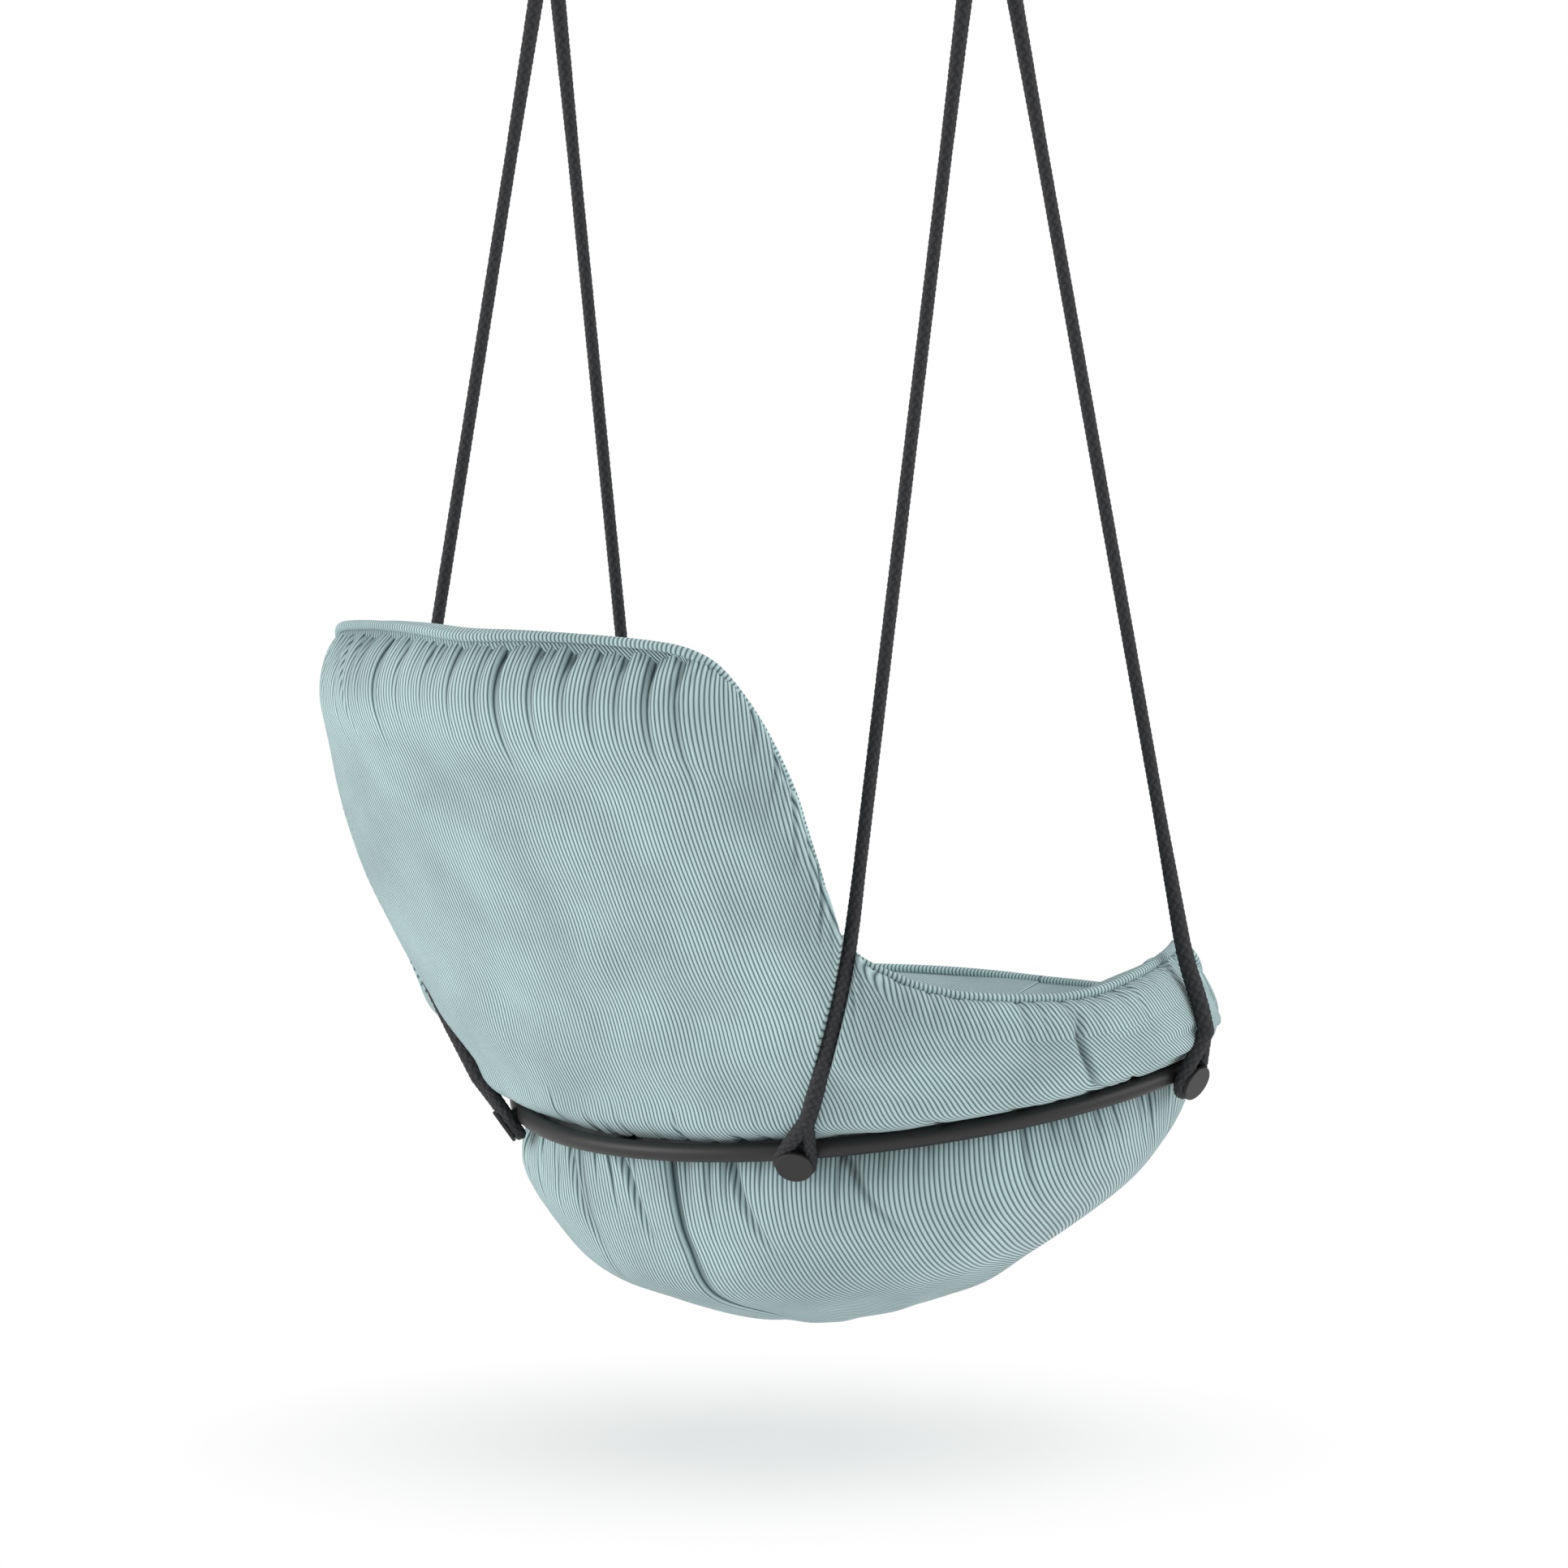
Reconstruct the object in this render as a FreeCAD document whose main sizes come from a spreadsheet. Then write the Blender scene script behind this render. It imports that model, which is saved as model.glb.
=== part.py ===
import FreeCAD, Part
import Sketcher
import math
import os
from FreeCAD import Placement, Rotation, Vector

# A hanging swing seat: a padded bucket held by a bent tube hoop, hung by four ropes from two ceiling plates.
# The row frame has +Z up and +X to the sitter's left, the seat faces -Y, and the ceiling is the plane z = 0.

doc = FreeCAD.newDocument("swing_seat")

# Driving sizes, lengths in millimetres and turns in degrees.
SIZES = (
    # Where the seat hangs, measured from the ceiling to the middle of the hoop.
    ("hoop_drop", 1344),
    ("hoop_forward", 189),
    ("seat_tilt", 10.2),
    # Hoop, one round tube bent to an open circle, and the plugs in its ends.
    ("hoop_radius", 412),
    ("hoop_half_turn", 99),
    ("tube_diameter", 20),
    ("tube_wall", 2),
    ("plug_cap", 3),
    ("plug_insert", 9),
    ("plug_play", 0.3),
    # Rope pegs on the hoop: a welded sleeve and a screwed cap with a flat disc head.
    ("rear_peg_turn", 32.5),
    ("front_peg_turn", 96),
    ("peg_dip", 27),
    ("sleeve_diameter", 20),
    ("rope_room", 14),
    ("disc_diameter", 40),
    ("disc_thickness", 4),
    ("disc_edge", 0.8),
    ("stud_diameter", 8),
    ("stud_length", 12),
    ("stud_play", 0.2),
    # Padded bucket, in the hoop's own plane: reaches above and below the hoop. Its half width keeps
    # a fixed share of the hoop, so the plan of the pads grows with the tube that carries them.
    ("back_height", 570),
    ("belly_depth", 263),
    ("half_width", "=hoop_radius * 113 / 103"),
    ("shell_wall", 8),
    ("pad_play", 0.4),
    ("shell_setback", 26),
    ("cushion_crown", 18),
    ("cushion_lean", 8),
    ("piping_bead", 4),
    # Bolts between the shell and the studs welded on the inside of the hoop.
    ("hoop_stud_diameter", 18),
    ("bolt_diameter", 8),
    ("bolt_play", 0.3),
    ("bolt_head_diameter", 20),
    ("bolt_head", 4),
    ("bolt_grip", 8),
    ("head_room", 1),
    # Ropes, with a spliced eye at each end.
    ("rope_diameter", 13),
    ("eye_play", 0.2),
    ("eye_reach", 62),
    ("groove_play", 0.5),
    ("dent_radius", 30),
    # Ceiling plates with two cheeks each,
    ("plate_spacing", 696),
    ("plate_width", 80),
    ("plate_length", 130),
    ("plate_thickness", 6),
    ("plate_corner", 12),
    ("screw_spacing", 96),
    ("screw_hole_diameter", 9),
    ("cheek_thickness", 5),
    ("cheek_width", 36),
    ("pivot_drop", 48),
    # Pivot bolt with its lock nut and washers, and the bush that both upper eyes sit on.
    ("pivot_diameter", 10),
    ("pivot_play", 0.06),
    ("pivot_head_diameter", 17),
    ("pivot_head", 6.5),
    ("nut_width", 17),
    ("nut_height", 10),
    ("nut_tail", 3),
    ("washer_diameter", 21),
    ("washer_thickness", 2),
    ("washer_play", 0.25),
    ("bush_hub_diameter", 20),
    ("flange_diameter", 38),
    ("flange_thickness", 2.5),
    ("side_play", 0.4),
    # Widest gap that is closed where two lofted forms are sewn together.
    ("sew_gap", 0.01),
    # One overrun for every cut.
    ("overrun", 5),
)
sheet = doc.addObject("Spreadsheet::Sheet", "Sizes")
for row, (alias, value) in enumerate(SIZES, 1):
    sheet.set("A%d" % row, alias)
    sheet.set("B%d" % row, str(value))
    sheet.setAlias("B%d" % row, alias)
doc.recompute()

SIDES = (("left", 1), ("right", -1))
X_AXIS = Vector(1, 0, 0)
Z_AXIS = Vector(0, 0, 1)
seat_place = Placement(Vector(0, -sheet.hoop_forward, -sheet.hoop_drop), Rotation(X_AXIS, -sheet.seat_tilt))
tube_radius = sheet.tube_diameter / 2
rope_radius = sheet.rope_diameter / 2


def primitive(kind, name, **expressions):
    """A Part primitive whose sizes are bound to the sheet."""
    solid = doc.addObject("Part::" + kind, name)
    for prop, expression in expressions.items():
        solid.setExpression(prop, expression)
    return solid


def combine(kind, name, base, tool):
    """A boolean of two objects of the document."""
    result = doc.addObject("Part::" + kind, name)
    result.Base = base
    result.Tool = tool
    return result


def feature(label, shape, place=None):
    """A sub-part whose shape is worked out here from the sheet's sizes."""
    part = doc.addObject("Part::Feature", label)
    part.Shape = shape
    if place:
        part.Placement = place
    return part


def turned_body(label, corners):
    """A turned piece: corners are (radius, height) expressions of half its section, round the Z axis."""
    body = doc.addObject("PartDesign::Body", label)
    plane = [plane for plane in body.Origin.OriginFeatures if plane.Role == "XZ_Plane"][0]
    sketch = body.newObject("Sketcher::SketchObject", label + "_section")
    sketch.AttachmentSupport = [(plane, "")]
    sketch.MapMode = "FlatFace"
    start = [Vector(index, index % 2, 0) for index in range(len(corners))]
    for index, point in enumerate(start):
        sketch.addGeometry(Part.LineSegment(point, start[(index + 1) % len(start)]), False)
    for index in range(len(corners)):
        sketch.addConstraint(Sketcher.Constraint("Coincident", index, 2, (index + 1) % len(corners), 1))
    for index, corner in enumerate(corners):
        for axis, kind, expression in zip((-2, -1), ("DistanceX", "DistanceY"), corner):
            if expression == "0":
                sketch.addConstraint(Sketcher.Constraint("PointOnObject", index, 1, axis))
            else:
                number = sketch.addConstraint(Sketcher.Constraint(kind, -1, 1, index, 1, index + 1))
                sketch.setExpression("Constraints[%d]" % number, expression)
    turned = body.newObject("PartDesign::Revolution", label + "_turned")
    turned.Profile = sketch
    turned.ReferenceAxis = (sketch, ["V_Axis"])
    body.Tip = turned
    return body


def hoop_point(turn, height=0):
    """A point of the hoop's centre line, turned from the middle of the back, in the seat's frame."""
    angle = math.radians(turn)
    return Vector(math.sin(angle), math.cos(angle), 0) * sheet.hoop_radius + Z_AXIS * height


def peg_axis(turn):
    """The way a rope peg points: outwards and down from the hoop."""
    angle, dip = math.radians(turn), math.radians(sheet.peg_dip)
    return Vector(math.cos(dip) * math.sin(angle), math.cos(dip) * math.cos(angle), -math.sin(dip))


# Hoop tube: a torus cut to the hoop's turn, with the bore of the tube taken out.
def torus_arc(name, minor):
    arc = primitive("Torus", name, Radius1="Sizes.hoop_radius", Radius2=minor, Angle3="2 * Sizes.hoop_half_turn")
    arc.Placement = Placement(Vector(), Rotation(Z_AXIS, 90 - sheet.hoop_half_turn))
    return arc


hoop_bar = torus_arc("hoop_bar", "Sizes.tube_diameter / 2")
hoop_bore = torus_arc("hoop_bore", "Sizes.tube_diameter / 2 - Sizes.tube_wall")
hoop_tube = combine("Cut", "hoop_tube", hoop_bar, hoop_bore)
hoop_tube.Placement = seat_place
doc.recompute()
hoop_outside = hoop_bar.Shape
parts = [hoop_tube]

# End plugs: a cap as wide as the tube with a shallow dome, and an insert pressed into the bore.
for side, sign in SIDES:
    plug = turned_body("hoop_plug_" + side, (
        ("0", "0"),
        ("Sizes.tube_diameter / 2 - Sizes.tube_wall - Sizes.plug_play", "0"),
        ("Sizes.tube_diameter / 2 - Sizes.tube_wall - Sizes.plug_play", "Sizes.plug_insert"),
        ("Sizes.tube_diameter / 2", "Sizes.plug_insert"),
        ("Sizes.tube_diameter / 2", "Sizes.plug_insert + Sizes.plug_cap / 2"),
        ("Sizes.tube_diameter / 4", "Sizes.plug_insert + Sizes.plug_cap"),
        ("0", "Sizes.plug_insert + Sizes.plug_cap"),
    ))
    turn = math.radians(sheet.hoop_half_turn)
    heading = Vector(sign * math.cos(turn), -math.sin(turn), 0)
    seat_point = hoop_point(sign * sheet.hoop_half_turn) - heading * sheet.plug_insert
    plug.Placement = seat_place * Placement(seat_point, Rotation(Z_AXIS, heading))
    parts.append(plug)

# Rope pegs: each sleeve is coped to the tube and welded, and the disc cap screws into its end.
PEGS = tuple((end + "_" + side, sign * turn) for side, sign in SIDES
             for end, turn in (("rear", sheet.rear_peg_turn), ("front", sheet.front_peg_turn)))
for name, turn in PEGS:
    peg_place = Placement(hoop_point(turn), Rotation(Z_AXIS, peg_axis(turn)))
    sleeve_bar = primitive("Cylinder", "sleeve_bar_" + name, Radius="Sizes.sleeve_diameter / 2",
                           Height="Sizes.tube_diameter / 2 + Sizes.rope_room")
    stud_hole = primitive("Cylinder", "stud_hole_" + name,
                          Radius="Sizes.stud_diameter / 2 + Sizes.stud_play",
                          Height="Sizes.stud_length + Sizes.stud_play + Sizes.overrun")
    hole_start = tube_radius + sheet.rope_room - sheet.stud_length - sheet.stud_play
    sleeve_bar.Placement = peg_place
    stud_hole.Placement = peg_place * Placement(Z_AXIS * hole_start, Rotation())
    coped = combine("Cut", "sleeve_coped_" + name, sleeve_bar, hoop_bar)
    sleeve = combine("Cut", "peg_sleeve_" + name, coped, stud_hole)
    sleeve.Placement = seat_place
    cap = turned_body("peg_cap_" + name, (
        ("0", "0"),
        ("Sizes.stud_diameter / 2", "0"),
        ("Sizes.stud_diameter / 2", "Sizes.stud_length"),
        ("Sizes.disc_diameter / 2", "Sizes.stud_length"),
        ("Sizes.disc_diameter / 2", "Sizes.stud_length + Sizes.disc_thickness - Sizes.disc_edge"),
        ("Sizes.disc_diameter / 2 - Sizes.disc_edge", "Sizes.stud_length + Sizes.disc_thickness"),
        ("0", "Sizes.stud_length + Sizes.disc_thickness"),
    ))
    cap_start = tube_radius + sheet.rope_room - sheet.stud_length
    cap.Placement = seat_place * peg_place * Placement(Z_AXIS * cap_start, Rotation())
    parts += [sleeve, cap]

# Forms of the padded bucket: rows of level, half width, middle, reach to the back and reach to the front,
# as shares of the reach above or below the hoop, the half width and, for the last three, the hoop's radius.
UPPER_PAD_SHARES = (
    (0.014, 0.881, 0.000, 0.966, 0.626),
    (0.053, 1.000, 0.097, 0.888, 0.728),
    (0.105, 1.029, 0.171, 0.822, 0.809),
    (0.193, 1.033, 0.290, 0.749, 0.799),
    (0.289, 0.976, 0.472, 0.615, 0.728),
    (0.382, 0.913, 0.651, 0.479, 0.728),
    (0.474, 0.866, 0.822, 0.341, 0.728),
    (0.568, 0.830, 0.913, 0.291, 0.728),
    (0.670, 0.811, 0.955, 0.290, 0.728),
    (0.775, 0.789, 0.957, 0.329, 0.728),
    (0.882, 0.755, 0.951, 0.384, 0.728),
    (0.970, 0.722, 0.944, 0.322, 0.728),
    (1.007, 0.658, 0.908, 0.217, 0.728),
)
BELLY_SHARES = (
    (0.030, 0.881, 0.000, 0.966, 0.660),
    (0.266, 0.878, 0.142, 0.821, 0.714),
    (0.494, 0.767, 0.196, 0.739, 0.634),
    (0.677, 0.614, 0.247, 0.627, 0.532),
    (0.810, 0.468, 0.232, 0.489, 0.432),
    (0.901, 0.349, 0.226, 0.361, 0.336),
    (0.958, 0.248, 0.227, 0.251, 0.238),
    (0.989, 0.146, 0.224, 0.146, 0.138),
)
SHELL_BOWL_SHARES = (
    (0.829, 0.243, 0.223, 0.255, 0.231),
    (0.783, 0.365, 0.218, 0.383, 0.340),
    (0.707, 0.487, 0.214, 0.505, 0.432),
    (0.578, 0.631, 0.189, 0.626, 0.522),
    (0.411, 0.748, 0.146, 0.738, 0.583),
    (0.198, 0.845, 0.058, 0.874, 0.612),
)
SHELL_BACK_SHARES = (
    (0.018, 0.854, 0.000, 0.937, 0.612),
    (0.067, 0.903, 0.068, 0.864, 0.684),
    (0.123, 0.960, 0.150, 0.789, 0.760),
    (0.202, 0.982, 0.272, 0.714, 0.796),
    (0.289, 0.912, 0.461, 0.558, 0.680),
    (0.377, 0.850, 0.636, 0.427, 0.704),
    (0.470, 0.801, 0.801, 0.296, 0.728),
    (0.570, 0.765, 0.883, 0.252, 0.728),
    (0.675, 0.746, 0.922, 0.252, 0.728),
    (0.781, 0.726, 0.922, 0.277, 0.728),
    (0.886, 0.699, 0.913, 0.296, 0.728),
    (0.974, 0.664, 0.888, 0.257, 0.728),
    (1.074, 0.597, 0.820, 0.218, 0.728),
)
CAVITY_BOWL_SHARES = (
    (0.513, 0.210, 0.206, 0.218, 0.194),
    (0.479, 0.343, 0.199, 0.359, 0.289),
    (0.399, 0.469, 0.184, 0.485, 0.362),
    (0.247, 0.586, 0.150, 0.595, 0.420),
    (0.011, 0.677, 0.097, 0.675, 0.498),
)
CAVITY_BACK_SHARES = (
    (0.095, 0.748, 0.097, 0.718, 0.728),
    (0.202, 0.801, 0.214, 0.636, 0.801),
    (0.295, 0.763, 0.427, 0.476, 0.801),
    (0.382, 0.704, 0.605, 0.335, 0.801),
    (0.474, 0.646, 0.757, 0.218, 0.801),
    (0.570, 0.611, 0.823, 0.194, 0.801),
    (0.675, 0.588, 0.862, 0.194, 0.801),
    (0.781, 0.571, 0.879, 0.194, 0.801),
    (0.886, 0.553, 0.886, 0.189, 0.801),
    (1.000, 0.544, 0.879, 0.184, 0.801),
    (1.140, 0.544, 0.855, 0.184, 0.801),
)
OVAL_JOINT_TURN = math.radians(20)
LOFT_DEGREE = 3


def quarter(width, reach):
    """Radii of the end arc and the side arc that meet at the joint's turn on a quarter of an oval."""
    sine, cosine = math.sin(OVAL_JOINT_TURN), math.cos(OVAL_JOINT_TURN)
    spread = sine + cosine - 1
    end = (width * cosine - reach * (1 - sine)) / spread
    side = (reach * sine - width * (1 - cosine)) / spread
    return end, side


def oval(level, width, middle, back, front):
    """A closed wire of six arcs across the bucket at one level."""
    def half(reach, way):
        end, side = quarter(width, reach)
        joint = Vector(end * math.sin(OVAL_JOINT_TURN), way * (reach - end * (1 - math.cos(OVAL_JOINT_TURN))), 0)
        halfway = (OVAL_JOINT_TURN + math.pi / 2) / 2
        bend = Vector(width - side * (1 - math.sin(halfway)), way * side * math.cos(halfway), 0)
        return Vector(0, way * reach, 0), joint, bend

    def mirrored(point):
        return Vector(-point.x, point.y, 0)

    back_tip, back_joint, back_bend = half(back, 1)
    front_tip, front_joint, front_bend = half(front, -1)
    flank = Vector(width, 0, 0)
    arcs = (
        (mirrored(back_joint), back_tip, back_joint),
        (back_joint, back_bend, flank),
        (flank, front_bend, front_joint),
        (front_joint, front_tip, mirrored(front_joint)),
        (mirrored(front_joint), mirrored(front_bend), mirrored(flank)),
        (mirrored(flank), mirrored(back_bend), mirrored(back_joint)),
    )
    base = Vector(0, middle, level)
    return Part.Wire([Part.Arc(*[base + point for point in arc]).toShape() for arc in arcs])


def rows(shares, height, growth=0):
    """Ovals of a table of shares, each grown outwards alike."""
    return [oval(level * height, width * sheet.half_width + growth, middle * sheet.hoop_radius,
                 back * sheet.hoop_radius + growth, front * sheet.hoop_radius + growth)
            for level, width, middle, back, front in shares]


def loft(sections):
    return Part.makeLoft(sections, True, False, False, LOFT_DEGREE)


def bucket(bowl, back):
    """A bowl and a back that share the section where they meet, sewn into one solid."""
    level = back[0].BoundBox.Center.z
    faces = [face for form in (loft(bowl + back[:1]), loft(back)) for face in form.Faces
             if abs(face.CenterOfMass.z - level) > sheet.sew_gap]
    skin = Part.makeCompound(faces)
    skin.sewShape(sheet.sew_gap)
    solid = Part.makeSolid(skin.Shells[0])
    if solid.Volume < 0:
        solid.reverse()
    return solid


def shell_form(growth):
    bowl = rows(SHELL_BOWL_SHARES, -sheet.belly_depth, growth)
    for section in bowl:
        section.translate(Z_AXIS * -growth)
    return bucket(bowl, rows(SHELL_BACK_SHARES, sheet.back_height, growth))


# Rim line, in the seat's middle plane: (reach to the back, level) as shares of the hoop's radius
# and the back's height. It leans down the back, sweeps out along the wing and drops at the front corner.
RIM_SHARES = {
    "top": (1.408, 1.249),
    "top_bend": (1.029, 0.919),
    "back_foot": (0.932, 0.579),
    "sweep": (0.908, 0.453),
    "wing_start": (0.728, 0.314),
    "wing": (0.498, 0.253),
    "wing_middle": (0.218, 0.221),
    "wing_end": (-0.243, 0.200),
    "corner": (-0.379, 0.144),
    "corner_foot": (-0.461, 0.026),
    "front": (-1.044, 0.026),
    "front_top": (-1.044, 1.249),
}


def above_rim(back_shift, up_shift):
    """Everything above and in front of the rim line, right across the seat."""
    at = {name: Vector(-sheet.half_width - sheet.overrun, back * sheet.hoop_radius + back_shift,
                       level * sheet.back_height + up_shift)
          for name, (back, level) in RIM_SHARES.items()}
    edges = [
        Part.LineSegment(at["top"], at["top_bend"]),
        Part.LineSegment(at["top_bend"], at["back_foot"]),
        Part.Arc(at["back_foot"], at["sweep"], at["wing_start"]),
        Part.Arc(at["wing_start"], at["wing"], at["wing_middle"]),
        Part.LineSegment(at["wing_middle"], at["wing_end"]),
        Part.Arc(at["wing_end"], at["corner"], at["corner_foot"]),
        Part.LineSegment(at["corner_foot"], at["front"]),
        Part.LineSegment(at["front"], at["front_top"]),
        Part.LineSegment(at["front_top"], at["top"]),
    ]
    face = Part.Face(Part.Wire([edge.toShape() for edge in edges]))
    return face.extrude(X_AXIS * 2 * (sheet.half_width + sheet.overrun))


# Ropes: the points between the bush and the peg, on the left side in the seat's frame, as shares of the
# half width, the hoop radius and the back height. Each rope bends where it meets the rim and again over
# the side of the outer pad, and the rear ones sink into it.
REAR_ROUTE = ((0.8119, 0.8932, 0.4193), (0.7235, 0.8932, 0.2632))
FRONT_ROUTE = ((0.9513, -0.1311, 0.2228), (0.9934, -0.1214, 0.1298))
RUN_SHARE = 0.45
bush_width = 3 * sheet.flange_thickness + 2 * (sheet.rope_diameter + 2 * sheet.side_play)
groove_pitch = sheet.flange_thickness + sheet.rope_diameter + 2 * sheet.side_play
eye_offset = tube_radius + sheet.rope_room / 2
lower_bend = sheet.sleeve_diameter / 2 + sheet.eye_play + rope_radius
upper_bend = sheet.bush_hub_diameter / 2 + sheet.eye_play + rope_radius


def path(points):
    """Straight runs joined by tangent arcs, each as large as its shorter run allows."""
    edges = []
    start = points[0]
    for before, corner, after in zip(points, points[1:], points[2:]):
        inward, outward = corner - before, after - corner
        turn = inward.getAngle(outward)
        reach = RUN_SHARE * min(inward.Length, outward.Length)
        radius = reach / math.tan(turn / 2)
        inward.normalize()
        outward.normalize()
        first, last = corner - inward * reach, corner + outward * reach
        aside = (outward - inward).normalize()
        middle = corner + aside * (radius / math.cos(turn / 2) - radius)
        edges.append(Part.LineSegment(start, first).toShape())
        edges.append(Part.Arc(first, middle, last).toShape())
        print("rope bend radius %.0f, turn %.1f" % (radius, math.degrees(turn)))
        start = last
    edges.append(Part.LineSegment(start, points[-1]).toShape())
    return Part.Wire(edges)


def tube(line, radius):
    """A round solid along a line, its volume compared with its section times its length."""
    first = line.OrderedEdges[0]
    start = first.valueAt(first.FirstParameter)
    ring = Part.Wire(Part.makeCircle(radius, start, first.tangentAt(first.FirstParameter)))
    solid = line.makePipeShell([ring], True, False)
    share = solid.Volume / (math.pi * radius ** 2 * line.Length)
    if abs(share - 1) > 0.01:
        raise RuntimeError("tube volume is %.3f of section times length" % share)
    return solid


def eye_halves(centre, axis, toward, bend, radius):
    """The two legs of a spliced eye round a peg, which meet at the far side, and the point where they fork."""
    up = (toward - axis * toward.dot(axis)).normalize()
    across = axis.cross(up)
    fork = centre + up * sheet.eye_reach
    lift = math.asin(bend / sheet.eye_reach)
    legs = []
    for way in (1, -1):
        def rim(turn):
            return centre + (up * math.cos(turn) + across * way * math.sin(turn)) * bend
        leave = math.pi / 2 - lift
        leg = Part.LineSegment(fork, rim(leave)).toShape()
        bow = Part.Arc(rim(leave), rim((leave + math.pi) / 2), rim(math.pi)).toShape()
        legs.append(tube(Part.Wire([leg, bow]), radius))
    return legs, fork


def rope_shape(end, turn, sign):
    """A rope with its two eyes, in the row frame, and the dent that its run presses into the pads."""
    groove = -0.5 if end == "rear" else 0.5
    hub = Vector(sign * (sheet.plate_spacing / 2 + groove * groove_pitch), 0, -sheet.pivot_drop)
    route = REAR_ROUTE if end == "rear" else FRONT_ROUTE
    turns = [Vector(sign * x * sheet.half_width, y * sheet.hoop_radius, z * sheet.back_height)
             for x, y, z in route]
    bends = [seat_place.multVec(point) for point in turns]
    axis = seat_place.Rotation.multVec(peg_axis(turn))
    peg = seat_place.multVec(hoop_point(turn)) + axis * eye_offset
    upper, upper_fork = eye_halves(hub, X_AXIS, bends[0] - hub, upper_bend, rope_radius)
    lower, lower_fork = eye_halves(peg, axis, bends[-1] - peg, lower_bend, rope_radius)
    line = path([upper_fork] + bends + [lower_fork])
    print("rope %s run %.0f" % (end, line.Length))
    solid = tube(line, rope_radius).fuse(upper + lower)
    wide, fork = eye_halves(peg, axis, bends[-1] - peg, lower_bend, rope_radius + sheet.groove_play)
    groove_tool = tube(line, rope_radius + sheet.groove_play).fuse(wide)
    groove_tool.Placement = seat_place.inverse()
    outward = turns[0] + turns[1]
    outward.z = 0
    dent_shift = sheet.dent_radius - rope_radius - sheet.groove_play
    dent = tube(line, sheet.dent_radius)
    dent.Placement = seat_place.inverse()
    dent.translate(outward.normalize() * dent_shift)
    return solid, [groove_tool, dent]


grooves = []
for name, turn in PEGS:
    end = name.split("_")[0]
    rope, groove = rope_shape(end, turn, math.copysign(1, turn))
    parts.append(feature("rope_" + name, rope))
    grooves += groove

# Seat shell: a moulded bucket of even wall, open at the front and top, cut just under the rim.
shell_outside = shell_form(0)
shell_inside = shell_form(-sheet.shell_wall)
shell_wall = shell_outside.cut(shell_inside)
shell = shell_wall.cut(above_rim(0, -sheet.shell_setback))

# Studs on the inside of the hoop carry the shell, and a bolt from inside the shell enters each one.
STUD_TURNS = (0, 62, -62, 88, -88)
shell_reach = SHELL_BACK_SHARES[0][3] * sheet.hoop_radius
studs, bolts, bolt_holes, head_pockets = [], [], [], []
for turn in STUD_TURNS:
    outward = hoop_point(turn).normalize()
    face = outward * (shell_reach + sheet.pad_play)
    inner_face = outward * (shell_reach - sheet.shell_wall - sheet.pad_play)
    stud_bar = Part.makeCylinder(sheet.hoop_stud_diameter / 2, sheet.hoop_radius - face.Length, face, outward)
    tapping = Part.makeCylinder(sheet.bolt_diameter / 2 + sheet.bolt_play,
                                sheet.bolt_grip + sheet.bolt_play, face, outward)
    studs.append(stud_bar.cut([hoop_outside, tapping, shell_outside]))
    shank = Part.makeCylinder(sheet.bolt_diameter / 2,
                              face.Length + sheet.bolt_grip - inner_face.Length, inner_face, outward)
    head = Part.makeCylinder(sheet.bolt_head_diameter / 2, sheet.bolt_head, inner_face, outward * -1)
    bolts.append(shank.fuse(head))
    bolt_holes.append(Part.makeCylinder(sheet.bolt_diameter / 2 + sheet.bolt_play, 2 * sheet.hoop_stud_diameter,
                                        outward * (shell_reach - sheet.hoop_stud_diameter), outward))
    head_pockets.append(Part.makeCylinder(sheet.bolt_head_diameter / 2 + sheet.head_room,
                                          sheet.bolt_head + sheet.head_room + sheet.shell_wall,
                                          inner_face + outward * sheet.shell_wall, outward * -1))
shell = shell.cut(bolt_holes)
bolts = [max(bolt.cut(shell).Solids, key=lambda solid: solid.Volume) for bolt in bolts]
parts.append(feature("seat_shell", shell, seat_place))
parts.append(feature("hoop_studs", Part.makeCompound(studs), seat_place))
parts.append(feature("shell_bolts", Part.makeCompound(bolts), seat_place))

def carve(form, tools):
    """A form with each tool taken out of it in turn."""
    for tool in tools:
        form = form.cut(tool)
    return form


# Outer pads: the back and wings above the hoop, and the belly below it, fitted over the shell.
shell_room = shell_form(sheet.pad_play)
stud_rooms = [Part.makeCylinder(sheet.hoop_stud_diameter / 2 + sheet.groove_play, sheet.hoop_stud_diameter * 2,
                                hoop_point(turn).normalize() * (shell_reach - sheet.shell_wall),
                                hoop_point(turn).normalize()) for turn in STUD_TURNS]
hoop_room = Part.makeTorus(sheet.hoop_radius, tube_radius + sheet.groove_play)
pad_rooms = [shell_room, hoop_room] + grooves + stud_rooms
upper_pad = carve(loft(rows(UPPER_PAD_SHARES, sheet.back_height)), [above_rim(0, 0)] + pad_rooms)
belly_pad = carve(loft(rows(BELLY_SHARES, -sheet.belly_depth)), pad_rooms)
parts.append(feature("outer_back_pad", upper_pad, seat_place))
parts.append(feature("belly_pad", belly_pad, seat_place))

# Rim piping: a strip that stands on the shell's edge between the inner and outer covers.
piping = shell_wall.common(above_rim(-sheet.pad_play, sheet.pad_play - sheet.shell_setback))
piping = piping.cut(above_rim(-sheet.piping_bead, sheet.piping_bead))
parts.append(feature("rim_piping", piping, seat_place))

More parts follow.
